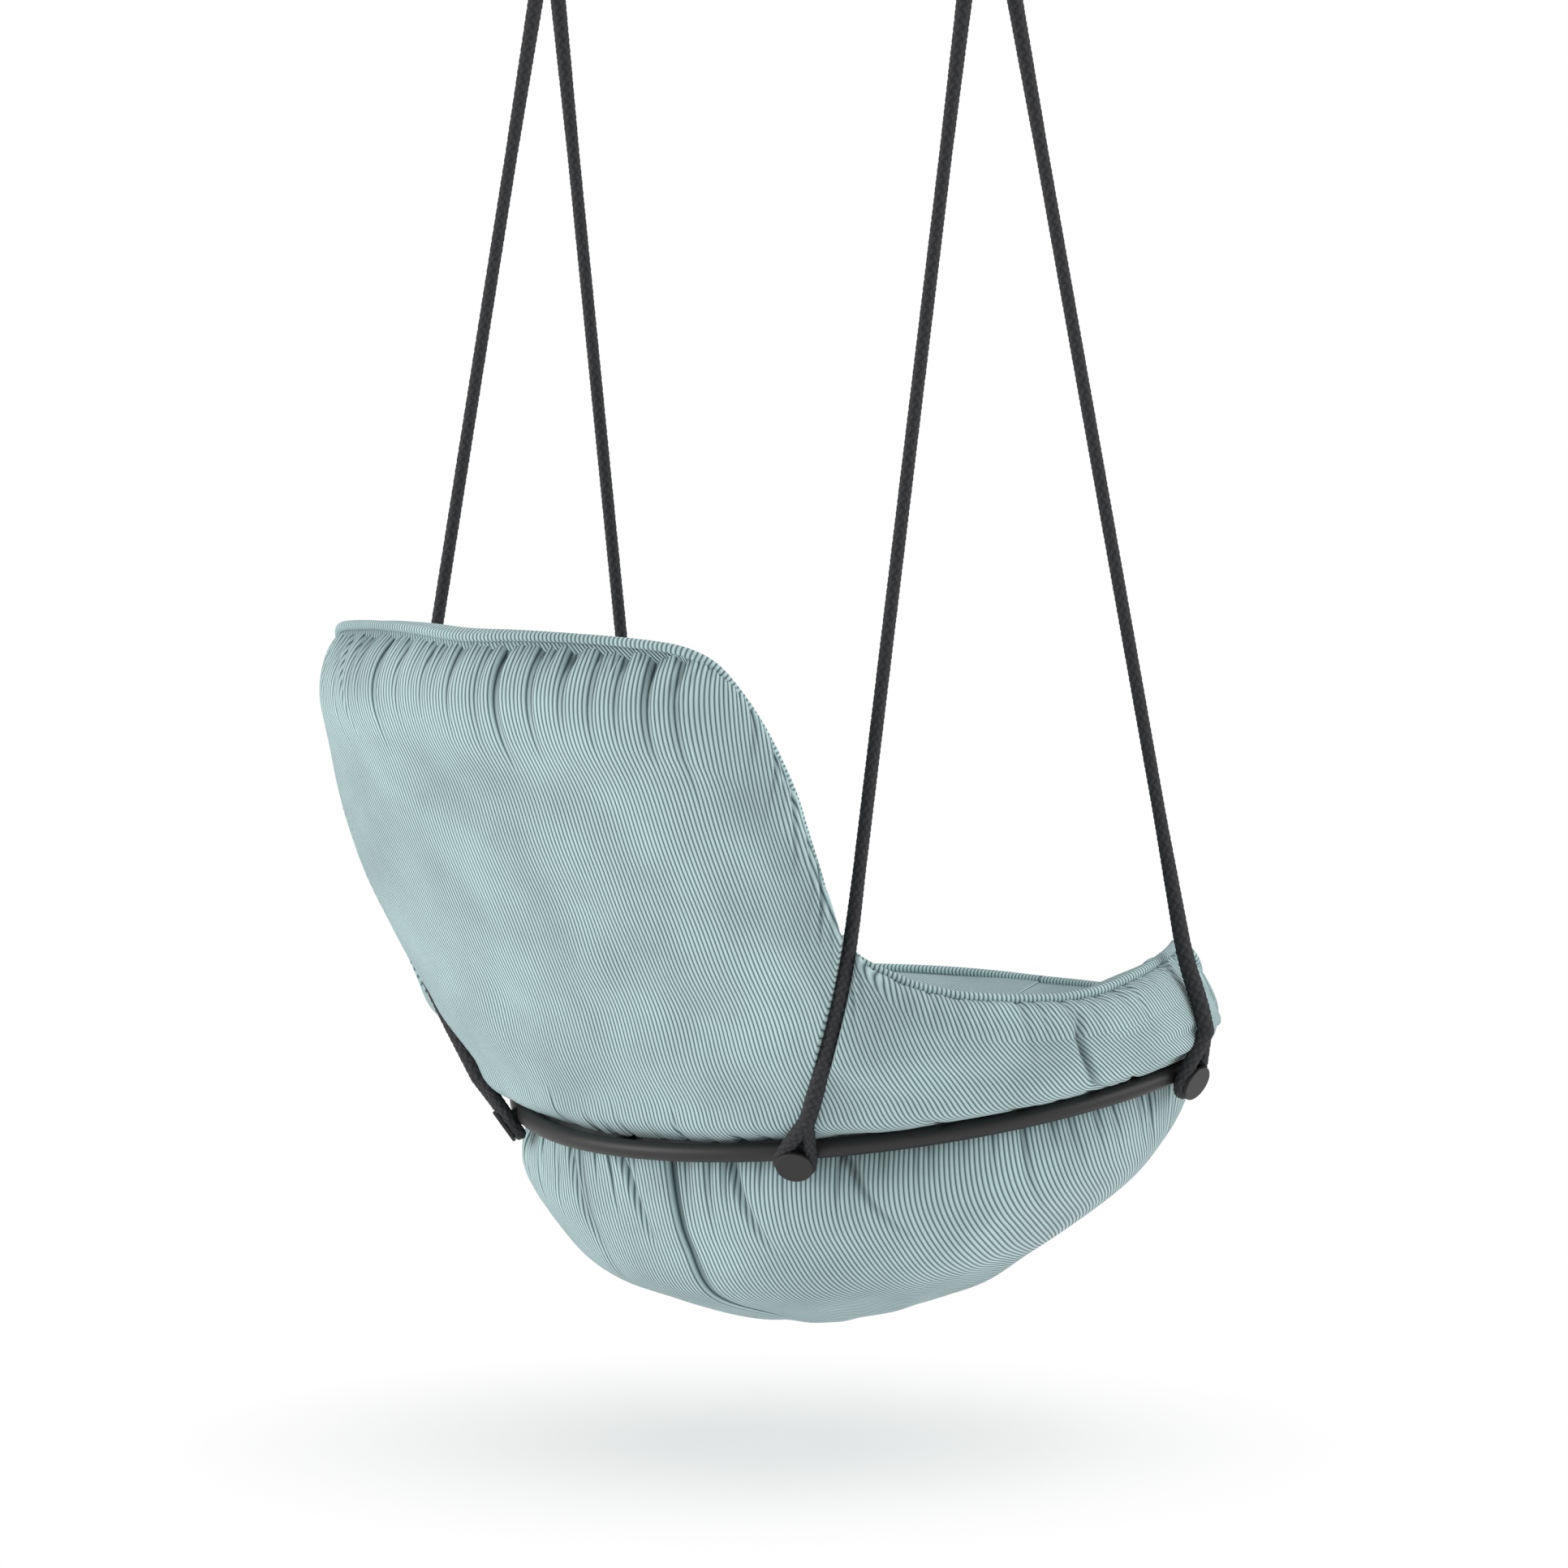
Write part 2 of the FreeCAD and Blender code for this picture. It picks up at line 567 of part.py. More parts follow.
# Inner cushions: the lining of the bucket, split where the back cushion meets the seat cushion.
lining = shell_form(-sheet.shell_wall - sheet.pad_play)
cavity = bucket(rows(CAVITY_BOWL_SHARES, -sheet.belly_depth), rows(CAVITY_BACK_SHARES, sheet.back_height))
lining = carve(lining, [cavity, above_rim(-sheet.cushion_lean, sheet.cushion_crown)] + head_pockets)
SPLIT_SHARES = ((-1.044, 0.090), (1.044, -0.200))


def below_split(shift):
    """Everything under the slanting seam between the two cushions."""
    edge_x = -sheet.half_width - sheet.overrun
    seam = [Vector(edge_x, back * sheet.hoop_radius, level * sheet.back_height + shift)
            for back, level in SPLIT_SHARES]
    floor = [Vector(edge_x, point.y, -sheet.belly_depth) for point in reversed(seam)]
    face = Part.Face(Part.makePolygon(seam + floor + seam[:1]))
    return face.extrude(X_AXIS * 2 * (sheet.half_width + sheet.overrun))


parts.append(feature("seat_cushion", lining.common(below_split(0)), seat_place))
parts.append(feature("back_cushion", lining.cut(below_split(sheet.pad_play)), seat_place))

# Ceiling plates: a flat plate with rounded corners, two screw holes and two cheeks that carry the pivot bolt.
cheek_gap = "(3 * Sizes.flange_thickness + 2 * (Sizes.rope_diameter + 2 * Sizes.side_play) + 2 * Sizes.side_play)"
half_gap = bush_width / 2 + sheet.side_play
for side, sign in SIDES:
    centre = Vector(sign * sheet.plate_spacing / 2, 0, 0)
    slab = primitive("Box", "slab_" + side, Length="Sizes.plate_width", Width="Sizes.plate_length",
                     Height="Sizes.plate_thickness")
    slab.Placement = Placement(centre - Vector(sheet.plate_width / 2, sheet.plate_length / 2, sheet.plate_thickness),
                               Rotation())
    doc.recompute()
    rounded = doc.addObject("Part::Fillet", "rounded_" + side)
    rounded.Base = slab
    upright = [number for number, edge in enumerate(slab.Shape.Edges, 1)
               if abs(edge.tangentAt(edge.FirstParameter).z) > 0.5]
    rounded.Edges = [(number, sheet.plate_corner, sheet.plate_corner) for number in upright]
    plate = rounded
    for way in (1, -1):
        tag = "%s_%s" % (side, "outer" if way == sign else "inner")
        inner_x = centre.x + way * half_gap
        low_x = min(inner_x, inner_x + way * sheet.cheek_thickness)
        web = primitive("Box", "web_" + tag, Length="Sizes.cheek_thickness", Width="Sizes.cheek_width",
                        Height="Sizes.pivot_drop - Sizes.plate_thickness")
        web.Placement = Placement(Vector(low_x, -sheet.cheek_width / 2, -sheet.pivot_drop), Rotation())
        toe = primitive("Cylinder", "toe_" + tag, Radius="Sizes.cheek_width / 2", Height="Sizes.cheek_thickness")
        toe.Placement = Placement(Vector(low_x, 0, -sheet.pivot_drop), Rotation(Z_AXIS, X_AXIS))
        cheek = combine("Fuse", "cheek_" + tag, web, toe)
        plate = combine("Fuse", "plate_with_" + tag, plate, cheek)
        hole = primitive("Cylinder", "screw_hole_" + tag, Radius="Sizes.screw_hole_diameter / 2",
                         Height="Sizes.plate_thickness + 2 * Sizes.overrun")
        hole.Placement = Placement(centre + Vector(0, way * sheet.screw_spacing / 2,
                                                   -sheet.plate_thickness - sheet.overrun), Rotation())
        plate = combine("Cut", "plate_drilled_" + tag, plate, hole)
    pin_hole = primitive("Cylinder", "pin_hole_" + side, Radius="Sizes.pivot_diameter / 2 + Sizes.pivot_play",
                         Height=cheek_gap + " + 2 * Sizes.cheek_thickness + 2 * Sizes.overrun")
    pin_hole.Placement = Placement(centre - Vector(half_gap + sheet.cheek_thickness + sheet.overrun, 0,
                                                   sheet.pivot_drop), Rotation(Z_AXIS, X_AXIS))
    plate = combine("Cut", "ceiling_plate_" + side, plate, pin_hole)
    parts.append(plate)

    # Bush: a turned hub with three flanges, which turns on the bolt and keeps the two eyes apart.
    rope_gap = "(Sizes.rope_diameter + 2 * Sizes.side_play)"
    wall, flange, hub = "Sizes.flange_thickness", "Sizes.flange_diameter / 2", "Sizes.bush_hub_diameter / 2"
    bore = "Sizes.pivot_diameter / 2 + Sizes.pivot_play"
    steps = [("0", flange), (wall, flange), (wall, hub), ("%s + %s" % (wall, rope_gap), hub),
             ("%s + %s" % (wall, rope_gap), flange), ("2 * %s + %s" % (wall, rope_gap), flange),
             ("2 * %s + %s" % (wall, rope_gap), hub), ("2 * (%s + %s)" % (wall, rope_gap), hub),
             ("2 * (%s + %s)" % (wall, rope_gap), flange), ("3 * %s + 2 * %s" % (wall, rope_gap), flange)]
    bush = turned_body("rope_bush_" + side, tuple((radius, height) for height, radius in steps)
                       + ((bore, "3 * %s + 2 * %s" % (wall, rope_gap)), (bore, "0")))
    bush.Placement = Placement(centre - Vector(bush_width / 2, 0, sheet.pivot_drop), Rotation(Z_AXIS, X_AXIS))
    parts.append(bush)

    # Pivot bolt from outside, with a washer under its head and one under the lock nut.
    outer = half_gap + sheet.cheek_thickness + sheet.washer_thickness
    bolt = turned_body("pivot_bolt_" + side, (
        ("0", "0"),
        ("Sizes.pivot_head_diameter / 2", "0"),
        ("Sizes.pivot_head_diameter / 2", "Sizes.pivot_head"),
        ("Sizes.pivot_diameter / 2", "Sizes.pivot_head"),
        ("Sizes.pivot_diameter / 2", "Sizes.pivot_head + " + cheek_gap + " + 2 * Sizes.cheek_thickness"
         " + 2 * Sizes.washer_thickness + Sizes.nut_height + Sizes.nut_tail"),
        ("0", "Sizes.pivot_head + " + cheek_gap + " + 2 * Sizes.cheek_thickness"
         " + 2 * Sizes.washer_thickness + Sizes.nut_height + Sizes.nut_tail"),
    ))
    inward = X_AXIS * -sign
    axle = centre - Z_AXIS * sheet.pivot_drop
    bolt.Placement = Placement(axle - inward * (outer + sheet.pivot_head), Rotation(Z_AXIS, inward))
    parts.append(bolt)
    washers = []
    for way in (1, -1):
        start = axle - inward * way * (half_gap + sheet.cheek_thickness)
        ring = Part.makeCylinder(sheet.washer_diameter / 2, sheet.washer_thickness, start, inward * -way)
        eye = Part.makeCylinder(sheet.pivot_diameter / 2 + sheet.washer_play, sheet.washer_thickness, start,
                                inward * -way)
        washers.append(ring.cut(eye))
    parts.append(feature("pivot_washers_" + side, Part.makeCompound(washers)))
    corner = sheet.nut_width / math.sqrt(3)
    hexagon = Part.makePolygon([Vector(corner * math.cos(math.radians(60 * step)),
                                       corner * math.sin(math.radians(60 * step)), 0) for step in range(7)])
    nut = Part.Face(hexagon).extrude(Z_AXIS * sheet.nut_height)
    nut = nut.cut(Part.makeCylinder(sheet.pivot_diameter / 2 + sheet.pivot_play, sheet.nut_height))
    parts.append(feature("lock_nut_" + side, nut, Placement(axle + inward * outer, Rotation(Z_AXIS, inward))))

# Write each piece once every object of the document is sound.
doc.recompute()
for item in doc.Objects:
    if "Invalid" in item.State or "Error" in item.State:
        raise RuntimeError("%s did not build" % item.Label)
for part in parts:
    if part.Shape.isNull() or not part.Shape.isValid():
        raise RuntimeError("%s is not a sound solid" % part.Label)
os.makedirs("parts", exist_ok=True)
for part in parts:
    print("%-24s solids %d volume %.0f" % (part.Label, len(part.Shape.Solids), part.Shape.Volume))
    part.Shape.exportStep("parts/%s.step" % part.Label)
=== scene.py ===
import math
import bpy
import numpy as np
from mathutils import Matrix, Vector


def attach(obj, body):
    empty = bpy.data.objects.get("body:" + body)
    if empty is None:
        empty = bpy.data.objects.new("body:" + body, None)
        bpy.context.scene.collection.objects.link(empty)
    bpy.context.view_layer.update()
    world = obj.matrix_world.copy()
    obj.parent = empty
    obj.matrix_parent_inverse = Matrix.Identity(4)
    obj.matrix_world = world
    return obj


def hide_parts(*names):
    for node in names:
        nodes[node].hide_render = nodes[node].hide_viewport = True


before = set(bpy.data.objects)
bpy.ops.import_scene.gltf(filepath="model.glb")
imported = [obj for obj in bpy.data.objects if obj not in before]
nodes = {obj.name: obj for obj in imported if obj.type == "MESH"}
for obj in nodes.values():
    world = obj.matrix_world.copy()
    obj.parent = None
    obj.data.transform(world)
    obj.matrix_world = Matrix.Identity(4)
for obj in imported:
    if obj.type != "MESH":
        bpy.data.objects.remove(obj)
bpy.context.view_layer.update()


# Ceiling plates: two steel plates with welded cheeks, flame cut and drilled,
# powder coated near-black, screwed to a joist or beam overhead.
def shader(name, colour, roughness, metallic=0.0):
    """A material with its Principled shader set, and the node tree to add to."""
    material = bpy.data.materials.new(name)
    material.use_nodes = True
    tree = material.node_tree
    surface = tree.nodes["Principled BSDF"]
    surface.inputs["Base Color"].default_value = (*colour, 1.0)
    surface.inputs["Roughness"].default_value = roughness
    surface.inputs["Metallic"].default_value = metallic
    return material, tree, surface


def speckle(tree, scale, detail):
    """A noise on Object coordinates."""
    place = tree.nodes.new("ShaderNodeTexCoord")
    noise = tree.nodes.new("ShaderNodeTexNoise")
    noise.inputs["Scale"].default_value = scale
    noise.inputs["Detail"].default_value = detail
    tree.links.new(place.outputs["Object"], noise.inputs["Vector"])
    return noise.outputs["Fac"]


def relief(tree, surface, height, depth, strength):
    """Bumps a surface by a height."""
    bump = tree.nodes.new("ShaderNodeBump")
    bump.inputs["Strength"].default_value = strength
    bump.inputs["Distance"].default_value = depth
    tree.links.new(height, bump.inputs["Height"])
    tree.links.new(bump.outputs["Normal"], surface.inputs["Normal"])


def grain(tree, surface, scale, depth, strength):
    """Adds a fine noise relief."""
    relief(tree, surface, speckle(tree, scale, 2.0), depth, strength)


def dress(material, *names):
    """Gives CAD nodes their material."""
    for name in names:
        nodes[name].data.materials.clear()
        nodes[name].data.materials.append(material)


powder_coat, tree, surface = shader("powder_coat", (0.0135, 0.0125, 0.0125), 0.5)
grain(tree, surface, 900.0, 0.0003, 0.35)
dress(powder_coat, "ceiling_plate_left", "ceiling_plate_right")

# Pivot bolts, washers and lock nuts: zinc-plated steel hardware, one set per
# plate, through the cheeks and the rope bush.
zinc, tree, surface = shader("zinc_plate", (0.55, 0.55, 0.56), 0.32, 1.0)
grain(tree, surface, 500.0, 0.0002, 0.2)
dress(zinc, "pivot_bolt_left", "pivot_bolt_right", "pivot_washers_left", "pivot_washers_right",
      "lock_nut_left", "lock_nut_right")

# Rope bushes: turned black nylon hubs with three flanges; two rope eyes sit in
# the grooves of each.
nylon, tree, surface = shader("black_nylon", (0.02, 0.02, 0.02), 0.42)
grain(tree, surface, 350.0, 0.0002, 0.2)
dress(nylon, "rope_bush_left", "rope_bush_right")

# Hoop: one bent steel tube, closed by nylon plugs, with four pegs welded on:
# sleeves that carry the rope eyes, and flat disc heads. The steel is powder
# coated in one go.
dress(powder_coat, "hoop_tube", "hoop_studs",
      *(f"peg_{part}_{place}_{side}" for part in ("sleeve", "cap")
        for place in ("rear", "front") for side in ("left", "right")))
dress(nylon, "hoop_plug_left", "hoop_plug_right")

# Seat shell: a bucket moulded in dark grey plastic, inside the pads, bolted to
# the hoop's studs. Only its edges could show between the pads.
grey_plastic, tree, surface = shader("shell_plastic", (0.06, 0.075, 0.075), 0.6)
grain(tree, surface, 300.0, 0.0003, 0.2)
dress(grey_plastic, "seat_shell")
dress(zinc, "shell_bolts")

# Outer back pad: a foam ring upholstered in pale aqua wide-wale corduroy, sewn
# to the piping along the rim and pulled in behind the hoop at the crease, so
# the cloth gathers at both edges. Its form is the CAD's six-arc ovals.
TILT, FORWARD, DROP = math.radians(10.2), -0.189, -1.344
RIB_SPACING = 0.00525
ARC_JOINT = math.radians(20.0)


def placed(p):
    """Points of the hoop's own tilted frame, in metres, taken to the part's frame."""
    y, z = p[..., 1], p[..., 2]
    return np.stack([p[..., 0], FORWARD + y * math.cos(TILT) + z * math.sin(TILT),
                     DROP - y * math.sin(TILT) + z * math.cos(TILT)], -1)


def unplaced(p):
    """Points of the part's frame taken to the hoop's own."""
    y, z = p[..., 1] - FORWARD, p[..., 2] - DROP
    return np.stack([p[..., 0], y * math.cos(TILT) - z * math.sin(TILT),
                     y * math.sin(TILT) + z * math.cos(TILT)], -1)


def tilted(v):
    """Directions of the hoop's own frame as they point in the part's frame."""
    return placed(v) - placed(np.zeros(3))


def unit(v):
    """Vectors brought to length one."""
    return v / np.linalg.norm(v, axis=-1, keepdims=True)


def travelled(points):
    """How far each point lies along its line of points, from 0 at the first."""
    gaps = np.linalg.norm(np.diff(points, axis=-2), axis=-1)
    return np.concatenate([np.zeros(gaps.shape[:-1] + (1,)), np.cumsum(gaps, -1)], -1)


def smoothstep(x):
    """0 below 0 and 1 above 1, with a smooth rise between."""
    x = np.clip(x, 0, 1)
    return x * x * (3 - 2 * x)


def bezier(first, second, third, last, t):
    """Cubic curves from first to last, drawn toward the two points between."""
    return ((1 - t) ** 3 * first + 3 * t * (1 - t) ** 2 * second
            + 3 * t ** 2 * (1 - t) * third + t ** 3 * last)


def read_line(at, run, line):
    """A line of points read at distances along it."""
    return np.stack([np.interp(at, run, column) for column in line.T], -1)


def read_along(at, run, grid):
    """Each column of a grid read at its own distances; grids of points are read axis by axis."""
    if grid.ndim == 3:
        return np.stack([read_along(at, run, grid[..., i]) for i in range(3)], -1)
    return np.array([np.interp(*column) for column in zip(at, run, grid)])


def spline(rows, t):
    """Natural cubic through evenly spaced rows, read at row numbers t."""
    count = len(rows)
    system, right = np.eye(count), np.zeros_like(rows)
    for i in range(1, count - 1):
        system[i, i - 1:i + 2] = 1, 4, 1
        right[i] = 6 * (rows[i - 1] - 2 * rows[i] + rows[i + 1])
    bend = np.linalg.solve(system, right)
    i = np.clip(np.floor(t).astype(int), 0, count - 2)
    f = (t - i)[..., None]
    g = 1 - f
    return g * rows[i] + f * rows[i + 1] + (g ** 3 - g) * bend[i] / 6 + (f ** 3 - f) * bend[i + 1] / 6


def radii(width, depth):
    """Tip and side radii of a quarter of a six-arc oval."""
    span = math.sin(ARC_JOINT) + math.cos(ARC_JOINT) - 1
    return ((width * math.cos(ARC_JOINT) - depth * (1 - math.sin(ARC_JOINT))) / span,
            (depth * math.sin(ARC_JOINT) - width * (1 - math.cos(ARC_JOINT))) / span)


def half_girth(row):
    """Length of half an oval, from the middle of the back to the middle of the front."""
    side = math.pi / 2 - ARC_JOINT
    tip, back = radii(row[..., 1], row[..., 3])
    nose, front = radii(row[..., 1], row[..., 4])
    return tip * ARC_JOINT + back * side + front * side + nose * ARC_JOINT


def on_oval(row, run):
    """Points on ovals (z, half width, y0, back, front) at a signed run from the middle of the back."""
    z, a, y0, b, c = (row[..., i] for i in range(5))
    side = math.pi / 2 - ARC_JOINT
    tip, back = radii(a, b)
    nose, front = radii(a, c)
    s = np.abs(run)
    e1 = tip * ARC_JOINT
    e2 = e1 + back * side
    e3 = e2 + front * side
    turn = np.select([s < e1, s < e2, s < e3],
                     [s / tip, ARC_JOINT + (s - e1) / back, math.pi / 2 + (s - e2) / front],
                     math.pi - ARC_JOINT + (s - e3) / nose)
    sin, cos = np.sin(turn), np.cos(turn)
    x = np.select([s < e1, s < e2, s < e3], [tip * sin, a - back + back * sin, a - front + front * sin],
                  nose * sin)
    y = np.select([s < e1, s < e2, s < e3], [y0 + b - tip + tip * cos, y0 + back * cos, y0 + front * cos],
                  y0 - c + nose + nose * cos)
    return np.stack([np.sign(run) * x, y, z * np.ones_like(x)], -1)


# the rim as (y, height), and the ovals of the outside and of the shell
RIM = np.array([(-0.43, 0.015), (-0.19, 0.015), (-0.176, 0.05), (-0.156, 0.082), (-0.13, 0.104),
                (-0.1, 0.114), (0.09, 0.126), (0.15, 0.133), (0.205, 0.144), (0.256, 0.158), (0.3, 0.179),
                (0.344, 0.213), (0.374, 0.258), (0.382, 0.294), (0.384, 0.33), (0.424, 0.524),
                (0.58, 0.712)])
UPPER = np.array([
    (8, 398, 0, 398, 258), (30, 452, 40, 376, 300), (60, 465, 70, 351, 333), (110, 467, 119, 319, 329),
    (165, 441, 194, 253, 300), (218, 413, 268, 197, 300), (270, 392, 339, 140, 300),
    (324, 375, 376, 120, 300), (382, 366, 393, 120, 300), (442, 356, 394, 136, 300),
    (503, 341, 392, 158, 300), (553, 327, 389, 132, 300), (574, 297, 374, 90, 300)]) / 1000.0
SHELL = np.array([
    (10, 386, 0, 386, 252), (38, 408, 28, 356, 282), (70, 434, 62, 325, 313), (115, 444, 112, 294, 328),
    (165, 412, 190, 230, 280), (215, 384, 262, 176, 290), (268, 362, 330, 122, 300),
    (325, 346, 364, 104, 300), (385, 337, 380, 104, 300), (445, 328, 380, 114, 300),
    (505, 316, 376, 122, 300), (555, 300, 366, 106, 300), (612, 270, 338, 90, 300)]) / 1000.0


def rim_height(y):
    """Height of the rim in the hoop's frame."""
    return np.interp(y, RIM[:, 0], RIM[:, 1])


def rim_line(form):
    """The rim on a form, from mid back to mid front: runs and levels at even steps, and its length."""
    t = np.linspace(0, len(form) - 1, 500)
    rows = spline(form, t)
    girth = half_girth(rows)
    front = np.interp(RIM[0, 1], rows[:, 0], girth)
    run = np.linspace(0, front, 3000)
    p = on_oval(np.broadcast_to(rows, (len(run), len(t), 5)), np.minimum(run[:, None], girth[None, :]))
    over = p[..., 2] - rim_height(p[..., 1])
    over[:, 0], over[:, -1] = -1.0, 1.0
    first = np.argmax(over > 0, axis=1)
    pick = np.arange(len(run))
    low, high = over[pick, first - 1], over[pick, first]
    t = t[first - 1] + (t[first] - t[first - 1]) * np.clip(-low / (high - low), 0, 1)
    rows = spline(form, t)
    gone = travelled(on_oval(rows, np.minimum(run, half_girth(rows))))
    even = np.linspace(0, gone[-1], 1600)
    return read_line(even, gone, np.stack([run, rows[:, 0]], -1)), gone[-1]


def eased(values, width):
    """Values, or each column of a table, evened by a moving average that keeps the ends."""
    if values.ndim == 2:
        return np.stack([eased(column, width) for column in values.T], -1)
    before = 2 * values[0] - values[width:0:-1]
    after = 2 * values[-1] - values[-2:-width - 2:-1]
    kernel = np.hanning(2 * width + 1)
    return np.convolve(np.concatenate([before, values, after]), kernel / kernel.sum(), "same")[width:-width]


def level_rows(form, z):
    """The form's ovals at levels z."""
    t = np.linspace(0, len(form) - 1, 2000)
    return spline(form, np.interp(z, spline(form, t)[:, 0], t))


LEAN, LEAN_FROM, LEAN_OVER, LEAN_LEVEL = 0.42, 0.30, 0.35, 0.06


def wale_of(run, z):
    """Distance across the ribs: they run down the middle of the back and lean forward on the sides."""
    lean = LEAN * smoothstep((np.abs(run) - LEAN_FROM) / LEAN_OVER)
    return np.sign(run) * (np.abs(run) + lean * (z - LEAN_LEVEL))


def pleats(rng, across, away, width, gap, depth, reach, spread):
    """Irregular gathers from a seam: narrow valleys of uneven depth and length that fade away from it."""
    total = np.zeros_like(across)
    at = -width
    while at < width:
        at += gap * rng.uniform(0.35, 1.75)
        deep = depth * rng.uniform(0.25, 1.0) ** 1.6
        fades = reach * rng.uniform(0.25, 1.0)
        wide = spread * rng.uniform(0.6, 1.5)
        drift = rng.uniform(-0.12, 0.12)
        off = across - at - drift * away
        total -= deep * np.exp(-(off / wide) ** 2) * np.clip(1 - away / fades, 0, 1) ** 1.2
    return total


def smooth_noise(rng, shape, cells):
    """Random field of about that many cells on each axis, evened by cubic steps."""
    coarse = rng.uniform(-1, 1, (cells[0] + 3, cells[1] + 3))
    u = np.linspace(0, cells[0], shape[0])
    v = np.linspace(0, cells[1], shape[1])
    i, j = np.minimum(u.astype(int), cells[0] - 1), np.minimum(v.astype(int), cells[1] - 1)
    f, g = smoothstep(u - i)[:, None], smoothstep(v - j)[None, :]
    i, j = i[:, None], j[None, :]
    return ((1 - f) * (1 - g) * coarse[i, j] + f * (1 - g) * coarse[i + 1, j]
            + (1 - f) * g * coarse[i, j + 1] + f * g * coarse[i + 1, j + 1])


def normals_of(p, wrap):
    """Unit normals of a grid of points, outward for columns that run leftward and rows that run up."""
    du = np.roll(p, -1, 0) - np.roll(p, 1, 0) if wrap else np.gradient(p, axis=0)
    n = np.cross(np.gradient(p, axis=1), du)
    return n / np.maximum(np.linalg.norm(n, axis=-1, keepdims=True), 1e-12)


# the ropes' lines, which press a valley into the pads: for each place the angle of its peg
# round the hoop, the x of its eye on the bush, and the bends between
ROPE, EYE_BEND, EYE_REACH = 0.013, 0.0167, 0.062
HOOP, PEG_DIP, PEG_STAND, PIVOT_DROP = 0.412, math.radians(27.0), 0.017, 0.048
ROUTES = {"rear": (32.5, 0.33985, ((0.367, 0.368, 0.239), (0.327, 0.368, 0.150))),
          "front": (96.0, 0.35615, ((0.430, -0.054, 0.127), (0.449, -0.050, 0.074)))}


def fillet(points):
    """A polyline with its inner corners rounded, each by 0.45 of its shorter run."""
    line = [points[0]]
    for before, at, after in zip(points, points[1:], points[2:]):
        back, on = before - at, after - at
        cut = 0.45 * min(np.linalg.norm(back), np.linalg.norm(on))
        a, b = at + unit(back) * cut, at + unit(on) * cut
        line += [(1 - f) ** 2 * a + 2 * f * (1 - f) * at + f * f * b for f in np.linspace(0, 1, 13)]
    return np.array(line + [points[-1]])


def spaced(line, step):
    """The same line with points a set step apart."""
    run = travelled(line)
    return read_line(np.linspace(0, run[-1], max(int(run[-1] / step), 8)), run, line)


def eye_fork(centre, axis, toward):
    """Where the two legs of an eye on a peg part, on the side that its rope leaves to."""
    up = toward - centre
    up = up - axis * up.dot(axis)
    return centre + unit(up) * EYE_REACH


def eye_half(fork, centre, axis, hand):
    """From the fork along one leg of an eye and round half of its peg to the far side."""
    up = (fork - centre) / EYE_REACH
    out = hand * np.cross(axis, up)
    arc = np.linspace(math.acos(EYE_BEND / EYE_REACH), math.pi, 16)
    return np.vstack([fork, centre + EYE_BEND * (np.cos(arc)[:, None] * up + np.sin(arc)[:, None] * out)])


def rope_lines(place, side):
    """A rope's run with one half of each eye, then the other halves, from the bush down to the peg."""
    sign = 1.0 if side == "left" else -1.0
    turn, hub, route = ROUTES[place]
    turn = math.radians(turn)
    level = math.cos(PEG_DIP)
    axis = np.array([sign * math.sin(turn) * level, math.cos(turn) * level, -math.sin(PEG_DIP)])
    peg = placed(HOOP * np.array([sign * math.sin(turn), math.cos(turn), 0.0]) + PEG_STAND * axis)
    axis = tilted(axis)
    bends = [placed(np.array([sign * x, y, z])) for x, y, z in route]
    hub, across = np.array([sign * hub, 0.0, -PIVOT_DROP]), np.array([1.0, 0.0, 0.0])
    upper, lower = eye_fork(hub, across, bends[0]), eye_fork(peg, axis, bends[-1])
    main = np.vstack([eye_half(upper, hub, across, 1.0)[::-1], fillet([upper, *bends, lower])[1:-1],
                      eye_half(lower, peg, axis, 1.0)])
    return main, eye_half(upper, hub, across, -1.0), eye_half(lower, peg, axis, -1.0)


LINES = {(place, side): rope_lines(place, side) for place in ROUTES for side in ("left", "right")}
PRESS_STEP, PRESS_BELOW = 0.004, -0.95
PRESS = [np.vstack([spaced(main, PRESS_STEP), spaced(lower, PRESS_STEP)])
         for main, _, lower in LINES.values()]
PRESS = [line[line[:, 2] < PRESS_BELOW] for line in PRESS]
VALLEY_FLOOR, VALLEY_WALL, VALLEY_HALF, NARROW_HALF = 0.0078, 0.020, 0.0100, 0.0068
PRESS_MARGIN, PRESS_UNDER, PRESS_MOST = 0.05, 0.02, 0.032


def pressed(p, n):
    """Grid points pushed in against n where a rope lies on them, less widely behind the left ropes."""
    flat, out = p.reshape(-1, 3), n.reshape(-1, 3)
    push = np.zeros(len(flat))
    for line in PRESS:
        left = line[:, 0].mean() > 0
        boxed = (flat > line.min(0) - PRESS_MARGIN) & (flat < line.max(0) + PRESS_MARGIN)
        near = np.where(boxed.all(1))[0]
        gap = flat[near, None] - line[None]
        height = (gap * out[near, None]).sum(-1)
        aside = np.sqrt(np.maximum((gap * gap).sum(-1) - height * height, 0))
        half = np.where((gap[..., 1] > 0) & left, NARROW_HALF, VALLEY_HALF)
        limit = VALLEY_WALL * (aside / half) ** 2.2 - VALLEY_FLOOR
        push[near] = np.minimum(push[near], np.where(height > -PRESS_UNDER, limit - height, 0.0).min(1))
    return p + n * np.clip(push, -PRESS_MOST, 0).reshape(p.shape[:2] + (1,))


